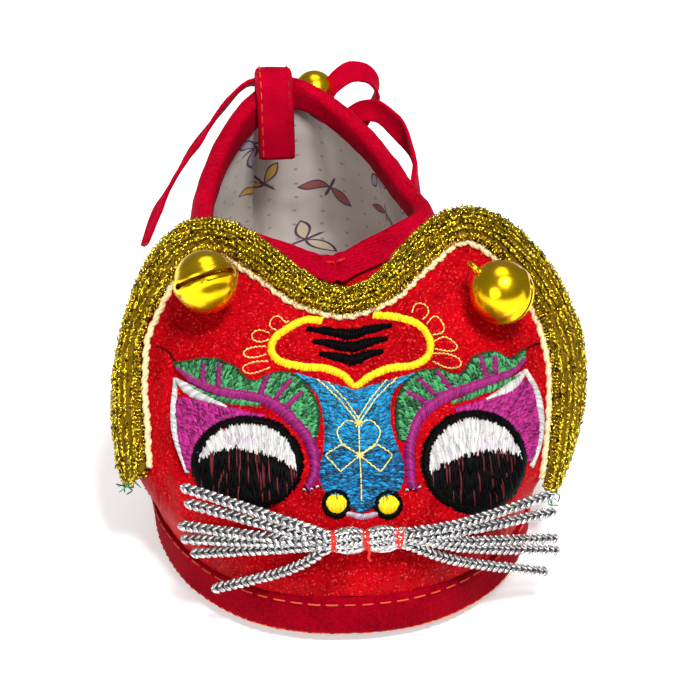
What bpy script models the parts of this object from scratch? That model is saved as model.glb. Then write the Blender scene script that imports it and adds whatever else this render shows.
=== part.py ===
# Tiger slipper: a baby's soft cloth shoe whose vamp is an embroidered tiger face.
# Sizes are in millimetres and become metres when a mesh is made.
# The toe points along -Y, +X is on the right of someone who looks at the face, and the floor is Z = 0.

import math
from collections import namedtuple

import bpy
import numpy as np
from mathutils import Vector
from mathutils.bvhtree import BVHTree

MM = 0.001

# Driving dimensions of the last and of the cloth
SOLE_LENGTH = 116.0
BALL_WIDTH = 67.0
HEEL_HEIGHT = 50.0
WALL = 1.6
GAP = 0.3
TOE_SWING, HEEL_SWING = 2.4, 5.8
SWING_FROM, SWING_TO = 45.0, 85.0

# Sole and the tape bound round its edge
OUTSOLE_THICKNESS = 4.0
TOE_SPRING = 0.8
TOE_SPRING_REACH = 20.0
ARCH_LIFT = 1.0
ARCH_FROM, ARCH_TO = 52.0, 84.0
INSOLE_THICKNESS = 1.8
BAND_BOTTOM, BAND_TOP, BAND_THICKNESS = 1.2, 9.2, 1.6

# Tape folded over the collar
COLLAR_TAPE_LEG = 6.0
COLLAR_TAPE_THICKNESS = 0.8

# Face panel, its braid and the padding under the embroidery
PANEL_THICKNESS = 1.2
PANEL_REACH = 28.0
BRAID_OVERHANG = 1.2
BRAID_LEFT_ROW = 3
BRAID_THICKNESS = 2.6
PAD_THICKNESS = 0.8
FACE_ELEVATION = math.radians(33.0)

# Bells
EAR_BELL_DIAMETER = 11.5
HEEL_BELL_DIAMETER = 8.4
BELL_SHEET = 0.6

# Ties, pull tab and whiskers
TIE_WIDTH, TIE_THICKNESS = 5.0, 0.9
TAB_WIDTH, TAB_THICKNESS = 7.5, 1.8
WHISKER_DIAMETER = 1.9

# Sampling of the lofts
HALF_RING = 21
PROFILE_STEPS = 10

# The depth that the heel bell adds behind the sole, so that the origin lies under the middle of the shoe
CENTRE_ALONG = 60.3

# One row for each section round the last, from the toe along one side to the heel.
# along and half are shares of the sole's length and half ball width, on the sole's edge.
# The collar columns place the wall's top edge: shares of length, of half ball width and of heel height.
# rise and bulge shape the wall as it leaves the sole, carry and drop as it reaches the collar.
Station = namedtuple("Station", "name along half collar_along collar_half collar_z rise bulge carry drop")
STATIONS = (
    Station("toe", 0.000, 0.000, 0.456, 0.000, 0.905, 19.0, 2.0, 0.58, 11.5),
    Station("toe_corner", 0.030, 0.470, 0.498, 0.220, 0.926, 19.0, 2.2, 0.55, 11.0),
    Station("toe_side", 0.116, 0.795, 0.536, 0.425, 0.936, 18.0, 3.2, 0.45, 11.0),
    Station("ball", 0.310, 1.000, 0.584, 0.625, 0.938, 16.0, 4.5, 0.28, 14.0),
    Station("waist", 0.569, 0.840, 0.690, 0.605, 0.905, 14.0, 3.8, 0.18, 14.0),
    Station("heel_side", 0.810, 0.715, 0.836, 0.475, 0.915, 14.0, 2.8, 0.05, 15.0),
    Station("heel_corner", 0.948, 0.440, 0.931, 0.268, 0.960, 15.0, 2.2, 0.00, 16.0),
    Station("heel", 1.000, 0.000, 0.970, 0.000, 1.000, 16.0, 2.5, 0.00, 17.0),
)

# One row for each column of the face panel, from its middle to its side edge.
# across is the share of the way round the toe; left, right, top_along and top_z place the free edge with
# its ears, which are not quite alike; braid is the width of the braid on that edge.
Column = namedtuple("Column", "name across left right top_along top_z rise bulge carry flare drop braid")
PANEL_COLUMNS = (
    Column("middle", 0.00, 1.4, -1.4, 42.2, 42.2, 14.0, 1.5, 0.55, 0.0, 12.0, 4.6),
    Column("brow", 0.28, 10.2, 7.5, 46.4, 45.3, 14.0, 1.5, 0.52, 0.5, 12.5, 5.4),
    Column("ear_root", 0.48, 18.6, 15.0, 53.4, 50.6, 13.0, 2.0, 0.46, 1.5, 13.0, 5.8),
    Column("ear_top", 0.62, 26.6, 21.9, 56.4, 52.5, 11.5, 3.0, 0.42, 3.0, 12.5, 6.0),
    Column("ear_side", 0.78, 32.2, 30.3, 54.0, 48.4, 9.5, 3.8, 0.36, 4.2, 11.0, 7.0),
    Column("cheek", 0.91, 35.8, 36.3, 49.8, 42.0, 8.0, 4.8, 0.30, 5.4, 9.5, 7.8),
    Column("side_edge", 1.00, 37.3, 39.6, 45.5, 35.5, 7.0, 5.6, 0.25, 5.6, 8.0, 8.0),
)
PANEL_HALF_COLUMNS = 17

# The face's chart is its view from FACE_ELEVATION above the toe: across, and up from the toe's foot.
FACE_MIDDLE = -0.8
Eye = namedtuple("Eye", "side across up half_width half_height")
EYES = (Eye("left", -20.7, 32.5, 9.6, 8.2), Eye("right", 19.8, 30.4, 9.6, 8.2))
BROW_OFFSET = 3.3
BROW_FROM, BROW_TO = math.radians(28), math.radians(158)

# Rows of the nose patch, from its top down: height on the chart and half width.
NoseRow = namedtuple("NoseRow", "up half")
NOSE_ROWS = (NoseRow(42.6, 8.4), NoseRow(39.5, 6.4), NoseRow(35.0, 5.4), NoseRow(29.5, 5.8), NoseRow(24.0, 5.0))
FOREHEAD_RING = {"half_width": 13.4, "up": 50.4, "rise": 4.2, "fall": 5.0, "half_band": 1.0}

# Where the ear bells sit on the chart, which way their loops point, and how their slots lie
EarBell = namedtuple("EarBell", "side across up loop slot clear")
EAR_BELLS = (
    EarBell("left", -26.4, 64.2, (0.10, 0.86, -0.50), (1.0, 0.0, 0.15), 7.7),
    EarBell("right", 26.5, 60.0, (-0.72, 0.42, 0.55), (0.5, -0.2, 0.8), 6.4),
)

# The whiskers' knot and the ends of the strands: across, along and height.
WHISKER_KNOT = (-1.4, -1.0, 22.3)
KNOT_LENGTH, KNOT_DIAMETER = 13.0, 4.6
Strand = namedtuple("Strand", "across along z")
STRANDS = (
    Strand(-31.7, 10.0, 27.2),
    Strand(-31.1, 9.0, 24.5),
    Strand(-32.4, 8.0, 20.6),
    Strand(-32.1, 7.5, 18.1),
    Strand(-30.5, 7.0, 15.3),
    Strand(-27.2, 5.0, 8.8),
    Strand(32.3, 10.0, 21.6),
    Strand(32.7, 9.5, 18.2),
    Strand(33.2, 8.5, 13.2),
    Strand(33.5, 8.0, 10.9),
    Strand(31.4, 7.0, 7.0),
)

# The pull tab's run over the collar: along and height, from outside to inside.
TAB_ACROSS = -9.8
TAB_RUN = (
    (114.9, 37.0), (115.3, 43.0), (115.1, 49.0), (113.3, 53.4), (110.0, 55.3),
    (106.4, 54.0), (103.4, 49.8), (102.0, 44.8), (101.6, 40.6),
)

# Heel bell, and the ties' knot and runs: across, along and height of each point, chosen by eye.
HEEL_BELL_AT = (-0.6, 119.6, 47.5)
TIE_KNOT_AT, TIE_KNOT_SIZE = (-0.8, 115.6, 39.0), (7.4, 5.8, 6.4)
TIE_RUNS = {
    "tie_loop_right": (
        (2.1, 115.9, 41.9), (5.8, 117.2, 45.6), (8.2, 118.8, 49.1), (11.2, 120.0, 50.8), (15.0, 120.0, 49.1),
        (17.0, 119.4, 45.9), (14.6, 119.8, 42.0), (9.5, 119.8, 38.4), (3.7, 118.2, 36.9),
    ),
    "tie_loop_left": (
        (-4.6, 116.8, 39.4), (-10.0, 120.4, 37.4), (-14.8, 120.9, 33.0), (-15.6, 120.5, 28.0),
        (-11.6, 119.5, 26.6), (-7.2, 118.8, 30.6), (-3.3, 117.0, 35.5),
    ),
    "tie_tail_left": (
        (-3.9, 116.9, 41.7), (-8.6, 119.5, 45.6), (-12.6, 119.2, 49.4), (-16.8, 118.2, 50.4), (-22.0, 116.2, 46.6),
        (-27.0, 112.6, 41.2), (-31.0, 107.0, 36.5), (-34.2, 101.0, 31.7), (-36.8, 95.0, 26.5),
    ),
    "tie_tail_right": (
        (3.5, 115.4, 39.4), (6.2, 115.7, 41.6), (9.2, 115.8, 43.4), (13.0, 114.2, 44.0), (16.7, 109.6, 42.0),
        (18.9, 104.0, 39.0), (18.4, 97.0, 35.1),
    ),
}
TIE_WIDTH_AIM = {
    "tie_loop_right": ((0.0, 0.8, 0.6), (0.1, 0.8, 0.5)),
    "tie_loop_left": ((0.0, 0.45, 0.85), (0.0, 0.9, 0.3)),
    "tie_tail_left": ((0.3, 0.6, 0.7), (0.5, -0.2, 0.9)),
    "tie_tail_right": ((0.0, 0.7, 0.6), (-0.2, 0.1, 1.0)),
}

COLOURS = {
    "satin": (0.55, 0.010, 0.014),
    "tape": (0.40, 0.004, 0.022),
    "sole_cloth": (0.16, 0.010, 0.012),
    "lining": (0.55, 0.50, 0.46),
    "gold": (0.42, 0.27, 0.04),
    "brass": (0.75, 0.52, 0.03),
    "silver": (0.70, 0.70, 0.72),
    "black": (0.012, 0.012, 0.013),
    "green": (0.02, 0.20, 0.07),
    "blue": (0.02, 0.22, 0.45),
    "yellow": (0.80, 0.55, 0.02),
}


# Curves and frames


def spline(knots, values, at, slopes=(None, None)):
    """Cubic spline through values at knots. An end slope of None leaves that end free."""
    knots, values, at = (np.asarray(x, float) for x in (knots, values, at))
    step, count = np.diff(knots), len(knots)
    rise = np.diff(values) / step
    matrix, right = np.eye(count), np.zeros(count)
    for i in range(1, count - 1):
        matrix[i, i - 1 : i + 2] = step[i - 1], 2 * (step[i - 1] + step[i]), step[i]
        right[i] = 6 * (rise[i] - rise[i - 1])
    if slopes[0] is not None:
        matrix[0, :2] = 2 * step[0], step[0]
        right[0] = 6 * (rise[0] - slopes[0])
    if slopes[1] is not None:
        matrix[-1, -2:] = step[-1], 2 * step[-1]
        right[-1] = 6 * (slopes[1] - rise[-1])
    bend = np.linalg.solve(matrix, right)
    i = np.clip(np.searchsorted(knots, at) - 1, 0, count - 2)
    a, b, h = knots[i + 1] - at, at - knots[i], step[i]
    ends = values[i] * a / h + values[i + 1] * b / h
    return ends + (bend[i] * (a**3 / h - a * h) + bend[i + 1] * (b**3 / h - b * h)) / 6


def through(points, count):
    """count points, evenly spaced, on a smooth curve through the given ones."""
    points = np.asarray(points, float)
    knots = np.concatenate([[0], np.cumsum(np.linalg.norm(np.diff(points, axis=0), axis=1))])
    fine = np.linspace(0, knots[-1], 12 * count)
    curve = np.stack([spline(knots, points[:, k], fine) for k in range(3)], axis=1)
    return evenly(curve, count)


def evenly(curve, count):
    run = np.concatenate([[0], np.cumsum(np.linalg.norm(np.diff(curve, axis=0), axis=1))])
    at = np.linspace(0, run[-1], count)
    return np.stack([np.interp(at, run, curve[:, k]) for k in range(3)], axis=1)


def bezier(p0, p1, p2, p3, t):
    """Points of one cubic for each row of the four arrays, as (rows, len(t), 3)."""
    t = np.asarray(t, float)[None, :, None]
    p0, p1, p2, p3 = (p[:, None, :] for p in (p0, p1, p2, p3))
    return (1 - t) ** 3 * p0 + 3 * (1 - t) ** 2 * t * p1 + 3 * (1 - t) * t**2 * p2 + t**3 * p3


def unit(vectors):
    return vectors / np.maximum(np.linalg.norm(vectors, axis=-1, keepdims=True), 1e-9)


def grid_normals(grid, closed):
    """Outward normals of a grid whose first axis runs round the shoe and whose second climbs it."""
    if closed:
        round_shoe = np.roll(grid, -1, axis=0) - np.roll(grid, 1, axis=0)
    else:
        round_shoe = np.gradient(grid, axis=0)
    return unit(np.cross(round_shoe, np.gradient(grid, axis=1)))


def sheet_normals(grid):
    """Outward normals of an open sheet, evened out so that its corners are sound."""
    normals = grid_normals(grid, closed=False)
    for end in (0, -1):
        normals[end, -1] = normals[1 if end == 0 else -2, -2]
    for _ in range(2):
        wide = np.pad(normals, ((1, 1), (1, 1), (0, 0)), mode="edge")
        normals = unit(
            2 * normals + wide[:-2, 1:-1] + wide[2:, 1:-1] + wide[1:-1, :-2] + wide[1:-1, 2:]
        )
    return normals


def mirrored(half):
    """The whole ring from the sections of the +X side, toe to heel."""
    return np.concatenate([half, half[-2:0:-1] * (-1, 1, 1)])


def both_sides(left, right):
    """Values from the -X end to the +X end, from those of each side that start in the middle."""
    return np.concatenate([left[:0:-1], right])


# Mesh making


def swung(points):
    """Points moved with the last, which lies towards the other foot, its rear part more than its toe."""
    points = np.array(points, float)
    share = np.clip((points[..., 1] + CENTRE_ALONG - SWING_FROM) / (SWING_TO - SWING_FROM), 0, 1)
    points[..., 0] -= TOE_SWING + (HEEL_SWING - TOE_SWING) * (1 - np.cos(math.pi * share)) / 2
    return points


def add_object(name, points, faces, colour, roughness=0.7, metallic=0.0):
    mesh = bpy.data.meshes.new(name)
    mesh.from_pydata((np.asarray(points) * MM).tolist(), [], faces)
    mesh.shade_smooth()
    mesh.set_sharp_from_angle(angle=math.radians(40))
    material = bpy.data.materials.new(name)
    material.use_nodes = True
    shader = material.node_tree.nodes["Principled BSDF"]
    shader.inputs["Base Color"].default_value = (*COLOURS[colour], 1)
    shader.inputs["Roughness"].default_value = roughness
    shader.inputs["Metallic"].default_value = metallic
    mesh.materials.append(material)
    made = bpy.data.objects.new(name, mesh)
    bpy.context.scene.collection.objects.link(made)
    return made


def sections_mesh(sections, closed):
    """Points and faces of a solid lofted through closed sections, as a ring or with capped ends."""
    rows, columns = sections.shape[:2]
    faces = []
    for i in range(rows if closed else rows - 1):
        for j in range(columns):
            a, b = i * columns, (i + 1) % rows * columns
            k = (j + 1) % columns
            faces.append((a + j, b + j, b + k, a + k))
    if not closed:
        faces.append(tuple(range(columns)))
        faces.append(tuple(range((rows - 1) * columns + columns - 1, (rows - 1) * columns - 1, -1)))
    return sections.reshape(-1, 3), outwards(sections.reshape(-1, 3), faces)


def outwards(points, faces):
    """The faces, all turned over where they would point inwards."""
    volume = 0.0
    for face in faces:
        first = points[face[0]]
        for b, c in zip(face[1:-1], face[2:]):
            volume += np.dot(first, np.cross(points[b], points[c]))
    return faces if volume > 0 else [face[::-1] for face in faces]


def add_loft(name, sections, colour, closed=False, **finish):
    """Adds a loft and returns its points and faces."""
    points, faces = sections_mesh(np.asarray(sections), closed)
    add_object(name, points, faces, colour, **finish)
    return points, faces


def tree_of(*solids):
    """A search tree over solids given as points and faces."""
    points, faces = [], []
    for solid_points, solid_faces in solids:
        start = len(points)
        points += [Vector(p) for p in solid_points]
        faces += [[start + i for i in face] for face in solid_faces]
    return BVHTree.FromPolygons(points, faces)


def tree_of_grid(grid):
    """A search tree over one face of a lofted sheet."""
    rows, columns = grid.shape[:2]
    corners = [(i * columns + j, (i + 1) * columns + j) for i in range(rows - 1) for j in range(columns - 1)]
    faces = [(a, b, b + 1, a + 1) for a, b in corners]
    return BVHTree.FromPolygons([Vector(p) for p in grid.reshape(-1, 3)], faces)


# The last


def station_values(field, scale=1.0):
    return np.array([getattr(row, field) for row in STATIONS]) * scale


SOLE_ALONG = station_values("along", SOLE_LENGTH)
SOLE_HALF = station_values("half", BALL_WIDTH / 2)
KNOTS = np.concatenate([[0], np.cumsum(np.hypot(np.diff(SOLE_ALONG), np.diff(SOLE_HALF)))])
SHARE = np.linspace(0, 1, HALF_RING)
RING = KNOTS[-1] * (SHARE - 0.07 * np.sin(2 * math.pi * SHARE))


def sole_lift(along):
    """How far toe spring raises the sole."""
    return TOE_SPRING * np.clip(1 - np.asarray(along) / TOE_SPRING_REACH, 0, 1) ** 2


def sole_edge(at):
    """Point on the sole's edge and outward direction in plan, on the +X side."""
    edge = np.stack(
        [spline(KNOTS, SOLE_HALF, at, (1, -1)), spline(KNOTS, SOLE_ALONG, at, (0, 0))], axis=-1
    )
    small = 0.05
    ahead, behind = np.minimum(at + small, KNOTS[-1]), np.maximum(at - small, 0)
    d_half = spline(KNOTS, SOLE_HALF, ahead, (1, -1)) - spline(KNOTS, SOLE_HALF, behind, (1, -1))
    d_along = spline(KNOTS, SOLE_ALONG, ahead, (0, 0)) - spline(KNOTS, SOLE_ALONG, behind, (0, 0))
    return edge, unit(np.stack([d_along, -d_half], axis=-1))


def placed(half, along, z):
    """World points in millimetres from half width, distance behind the toe, and height."""
    return np.stack(np.broadcast_arrays(half, np.asarray(along) - CENTRE_ALONG, z), axis=-1).astype(float)


def wall_profile(at, t):
    """The upper's outer face on the +X side: one curve from sole edge to collar for each value of at."""
    edge, outward = sole_edge(at)
    base_z = OUTSOLE_THICKNESS + GAP + sole_lift(edge[:, 1])
    base = placed(edge[:, 0], edge[:, 1], base_z)
    top = placed(
        spline(KNOTS, station_values("collar_half", BALL_WIDTH / 2), at),
        spline(KNOTS, station_values("collar_along", SOLE_LENGTH), at, (None, 0)),
        spline(KNOTS, station_values("collar_z", HEEL_HEIGHT), at, (None, 0)),
    )
    rise, bulge, carry, drop = (spline(KNOTS, station_values(f), at) for f in ("rise", "bulge", "carry", "drop"))
    leave, arrive = base.copy(), top + carry[:, None] * (base - top) * (1, 1, 0)
    leave[:, :2] += outward * bulge[:, None]
    leave[:, 2] += rise
    arrive[:, 2] -= drop
    return bezier(base, leave, arrive, top, t)


PROFILE_T = 1 - (1 - np.linspace(0, 1, PROFILE_STEPS)) ** 1.25
OUTER_WALL = mirrored(wall_profile(RING, PROFILE_T))
WALL_NORMALS = grid_normals(OUTER_WALL, closed=True)


def wall_at(distance_down, offset):
    """Ring of points on the wall, a distance below the collar along each profile, moved off the outer face."""
    fine = mirrored(wall_profile(RING, np.linspace(0, 1, 81)))
    normals = grid_normals(fine, closed=True)
    ring = np.empty((len(fine), 3))
    for i, profile in enumerate(fine):
        down = profile[::-1]
        run = np.concatenate([[0], np.cumsum(np.linalg.norm(np.diff(down, axis=0), axis=1))])
        moved = down + normals[i][::-1] * offset
        ring[i] = [np.interp(distance_down, run, moved[:, k]) for k in range(3)]
    return ring


def wall_at_height(at, z):
    """Plan position of the outer face at a height, one for each value of at, on the +X side."""
    profiles = wall_profile(at, np.linspace(0, 1, 161))
    return np.array([[np.interp(h, p[:, 2], p[:, k]) for k in (0, 1)] for p, h in zip(profiles, z)])


# Sole, upper and tapes


def half_width(along, inset):
    """Half width of the sole's outline, moved in by inset, at distances behind the toe."""
    at = np.linspace(0, KNOTS[-1], 400)
    edge, outward = sole_edge(at)
    line = edge - outward * inset
    return np.interp(along, line[:, 1], line[:, 0])


def slab(inset, under, over, tip):
    """Sections of a sole: closed outlines across the shoe, from toe to heel."""
    turn = np.linspace(0, math.pi, 22)
    middle, reach = SOLE_LENGTH / 2, SOLE_LENGTH / 2 - inset - tip
    sections = []
    for along in middle - reach * np.cos(turn):
        half = half_width(along, inset)
        across = half * np.linspace(-1, 1, 5)
        low = placed(across, along, under(along))
        high = placed(across[::-1], along, over(along))
        sections.append(np.concatenate([low, high]))
    return np.array(sections)


def arch(along):
    """Lift of the sole's underside at the waist, between the heel's and the forefoot's flat spots."""
    share = np.clip((along - ARCH_FROM) / (ARCH_TO - ARCH_FROM), 0, 1)
    return ARCH_LIFT * math.sin(math.pi * share) ** 2


def make_outsole():
    under, over = lambda s: sole_lift(s) + arch(s), lambda s: OUTSOLE_THICKNESS + sole_lift(s)
    add_loft("outsole", swung(slab(0.1, under, over, 0.25)), "sole_cloth")


def make_insole():
    floor = OUTSOLE_THICKNESS + GAP
    under, over = lambda s: floor + sole_lift(s), lambda s: floor + INSOLE_THICKNESS + sole_lift(s)
    add_loft("insole", swung(slab(WALL + 2 * GAP, under, over, 0.4)), "lining")


def make_upper():
    inner = OUTER_WALL - WALL_NORMALS * WALL
    inner[:, 0, 2] = OUTER_WALL[:, 0, 2]
    wall = np.concatenate([OUTER_WALL, inner[:, ::-1]], axis=1)
    return add_loft("upper", swung(wall), "satin", closed=True)


def make_sole_band():
    """Tape round the edge of the sole and the foot of the upper."""
    edge, outward = sole_edge(RING)
    lift = sole_lift(edge[:, 1])
    heights = (BAND_BOTTOM, OUTSOLE_THICKNESS, BAND_TOP)
    inner, outer = [], []
    for h in heights:
        plan = wall_at_height(RING, lift + max(h, OUTSOLE_THICKNESS + GAP))
        for faces, off in ((inner, GAP), (outer, GAP + BAND_THICKNESS)):
            moved = plan + outward * off
            faces.append(np.column_stack([moved, lift + h]))
    soft_edge = outer[2] - np.column_stack([outward * 0.5, np.full(len(edge), 0.1)])
    outer[2] = outer[2] - (0, 0, 0.5)
    half = np.stack([*outer, soft_edge, *inner[::-1]], axis=1)
    add_loft("sole_band", swung(mirrored(half)), "tape", closed=True)


def make_collar_tape():
    """Tape folded over the collar, with a leg down each face of the wall."""
    near = GAP + 0.15
    far = near + COLLAR_TAPE_THICKNESS
    steps = (COLLAR_TAPE_LEG, COLLAR_TAPE_LEG / 2, 0.0)
    up = unit(wall_at(0.0, 0.0) - wall_at(0.8, 0.0))
    outside = [wall_at(d, far) for d in steps]
    inside = [wall_at(d, -WALL - far) for d in steps[::-1]]
    crown = wall_at(0.0, -WALL / 2) + up * (far + 0.25)
    shoulders = [wall_at(0.0, off) + up * (0.75 * far) for off in (0.55 * far, -WALL - 0.55 * far)]
    channel_in = [wall_at(d, -WALL - near) for d in steps[:-1]] + [wall_at(0.0, -WALL - near) + up * near]
    channel_out = [wall_at(0.0, near) + up * near] + [wall_at(d, near) for d in steps[-2::-1]]
    rings = [*outside, shoulders[0], crown, shoulders[1], *inside, *channel_in, *channel_out]
    return add_loft("collar_tape", swung(np.stack(rings, axis=1)), "tape", closed=True)


# Face panel


def settled(grid, tree, gap, rounds=3):
    """The grid, pushed off whatever it would enter until it clears it by the gap."""
    moved = grid.copy()
    for _ in range(rounds):
        for index in np.ndindex(grid.shape[:2]):
            near, normal, _, _ = tree.find_nearest(Vector(moved[index]))
            inside = (Vector(moved[index]) - near).dot(normal)
            if inside < gap:
                moved[index] = near + normal * gap
    return moved


def panel_columns():
    """The values of PANEL_COLUMNS, read at even shares from the panel's middle to its side edge."""
    table = {f: np.array([getattr(c, f) for c in PANEL_COLUMNS]) for f in Column._fields[1:]}
    share = np.linspace(0, 1, PANEL_HALF_COLUMNS)
    return {f: spline(table["across"], table[f], share) for f in table}


def panel_side(side):
    """Columns of one side, drawn on +X, from the middle outwards, each from sole band to free edge."""
    value = panel_columns()
    at = value["across"] * np.interp(PANEL_REACH, SOLE_ALONG, KNOTS)
    edge, outward = sole_edge(at)
    base_z = BAND_TOP + 3 * GAP + sole_lift(edge[:, 1])
    plan = wall_at_height(at, base_z) + outward * GAP
    base = np.column_stack([plan, base_z])
    base[:, 0] += TOE_SWING if side == "left" else -TOE_SWING
    top = placed(value[side], value["top_along"], value["top_z"])
    leave, arrive = base.copy(), top + value["carry"][:, None] * (base - top) * (1, 1, 0)
    leave[:, :2] += outward * value["bulge"][:, None]
    leave[:, 2] += value["rise"]
    arrive[:, 0] += value["flare"]
    arrive[:, 2] -= value["drop"]
    return bezier(base, leave, arrive, top, np.linspace(0, 1, 13))


def panel_grid(obstacles):
    """The panel's inner face, from side edge to side edge."""
    grid = both_sides(panel_side("left") * (-1, 1, 1), panel_side("right"))
    return settled(grid, obstacles, GAP + 0.1)


def make_face_panel(obstacles):
    inner = panel_grid(obstacles)
    outer = inner + sheet_normals(inner) * PANEL_THICKNESS
    add_loft("face_panel", np.concatenate([outer, inner[:, ::-1]], axis=1), "satin")
    return outer


def softened(values, rounds):
    """A path's values, each averaged with its neighbours; the ends stay."""
    values = values.copy()
    for _ in range(rounds):
        values[1:-1] = (values[:-2] + 2 * values[1:-1] + values[2:]) / 4
    return values


def make_braid(face):
    """Braid sewn on the panel's free edge, from one cheek over both ears to the other."""
    normals = sheet_normals(face)
    first = BRAID_LEFT_ROW
    path = np.concatenate([face[0, first:-1], face[:, -1], face[-1, -2:0:-1]])
    facing = np.concatenate([normals[0, first:-1], normals[:, -1], normals[-1, -2:0:-1]])
    top_width = panel_columns()["braid"]
    ends = np.full((2, len(face[0]) - 2), top_width[-1])
    width = np.concatenate([ends[0, first - 1 :], both_sides(top_width, top_width), ends[1]])
    count = 51
    line, facing = softened(evenly(path, count), 2), unit(softened(read_along(path, facing, count), 2))
    width = read_along(path, width[:, None], count)[:, 0]
    inward = unit(softened(unit(np.cross(np.gradient(line, axis=0), facing)), 3))
    tree = tree_of_grid(face)
    shares = np.linspace(0, 1, 5)
    sections = []
    for point, normal, aim, wide in zip(line, facing, inward, width):
        low = []
        for share in shares:
            spot = point + aim * (share * wide - BRAID_OVERHANG)
            near, away, _, _ = tree.find_nearest(Vector(spot))
            lift = (Vector(spot) - near).dot(away)
            low.append(spot + np.array(away) * (GAP + 0.35 - lift))
        low = np.array(low)
        dome = BRAID_THICKNESS * (0.45 + 0.55 * np.sin(math.pi * shares))
        sections.append(np.concatenate([low, (low + normal * dome[:, None])[::-1]]))
    add_loft("gold_braid", np.array(sections), "gold", roughness=0.4, metallic=0.6)


def read_along(path, values, count):
    """values of a path's points, read where evenly() puts its own points."""
    run = np.concatenate([[0], np.cumsum(np.linalg.norm(np.diff(path, axis=0), axis=1))])
    at = np.linspace(0, run[-1], count)
    return np.stack([np.interp(at, run, column) for column in values.T], axis=1)


# Embroidery pads


def chart_spots(tree, chart):
    """Points and normals on the panel's outer face under points of the chart."""
    back = np.array((0, -math.cos(FACE_ELEVATION), math.sin(FACE_ELEVATION)))
    up = np.array((0, math.sin(FACE_ELEVATION), math.cos(FACE_ELEVATION)))
    points, normals = [], []
    for across, height in chart:
        start = np.array((across, -CENTRE_ALONG, 0)) + up * height + back * 150
        spot, normal, _, _ = tree.ray_cast(Vector(start), Vector(-back))
        points.append(spot)
        normals.append(normal)
    return np.array(points), unit(np.array(normals))


def make_pad(name, tree, outline, colour):
    """A domed pad inside a closed outline on the chart."""
    middle = outline.mean(axis=0)
    low, high = [], []
    for share, height in ((0.2, 1.0), (0.65, 0.95), (1.0, 0.45)):
        points, normals = chart_spots(tree, middle + share * (outline - middle))
        low.append(points + normals * (GAP + 0.05))
        high.append(low[-1] + normals * (PAD_THICKNESS * height))
    add_loft(name, np.array(low + high[::-1]), colour)


def make_strip(name, tree, line, half, colour, closed=False):
    """A padded band along a line on the chart, with half widths along it."""
    if closed:
        ahead = np.roll(line, -1, axis=0) - np.roll(line, 1, axis=0)
    else:
        ahead = np.gradient(line, axis=0)
    aside = unit(ahead)[:, ::-1] * (-1, 1) * np.asarray(half)[:, None]
    low, high = [], []
    for share, height in ((-1, 0.45), (0, 1.0), (1, 0.45)):
        points, normals = chart_spots(tree, line + aside * share)
        low.append(points + normals * (GAP + 0.05))
        high.append(low[-1] + normals * (PAD_THICKNESS * height))
    add_loft(name, np.stack(low + high[::-1], axis=1), colour, closed=closed)


def make_embroidery(tree):
    turn = np.linspace(0, 2 * math.pi, 18, endpoint=False)
    for eye in EYES:
        ring = np.column_stack([np.cos(turn) * eye.half_width, np.sin(turn) * eye.half_height])
        make_pad(f"eye_{eye.side}", tree, ring + (eye.across, eye.up), "black")
        inner = 1 if eye.across < 0 else -1
        arc = np.linspace(BROW_FROM, BROW_TO, 12)
        reach = np.array((eye.half_width, eye.half_height)) + BROW_OFFSET
        line = np.column_stack([inner * np.cos(arc), np.sin(arc)]) * reach + (eye.across, eye.up)
        half = 1.1 + 1.2 * np.sin(np.linspace(0.2, math.pi - 0.2, len(arc)))
        make_strip(f"brow_{eye.side}", tree, line, half, "green")
    up = np.linspace(NOSE_ROWS[0].up, NOSE_ROWS[-1].up, 9)
    rows = NOSE_ROWS[::-1]
    half = spline([r.up for r in rows], [r.half for r in rows], up)
    make_strip("nose", tree, np.column_stack([np.full(9, FACE_MIDDLE), up]), half, "blue")
    size = FOREHEAD_RING
    tall = np.where(np.sin(turn) > 0, size["rise"], size["fall"])
    ring = np.column_stack([np.cos(turn) * size["half_width"], np.sin(turn) * tall])
    ring += (FACE_MIDDLE, size["up"])
    make_strip("forehead_ring", tree, ring, np.full(len(turn), size["half_band"]), "yellow", closed=True)


# Bells


def ball_sections(radius, around, rings):
    lat = np.linspace(-0.5, 0.5, rings + 2)[1:-1] * math.pi
    turn = np.linspace(0, 2 * math.pi, around, endpoint=False)
    ring = np.column_stack([np.cos(turn), np.sin(turn), np.zeros(around)])
    return np.array([radius * (ring * math.cos(b) + (0, 0, math.sin(b))) for b in lat])


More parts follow.
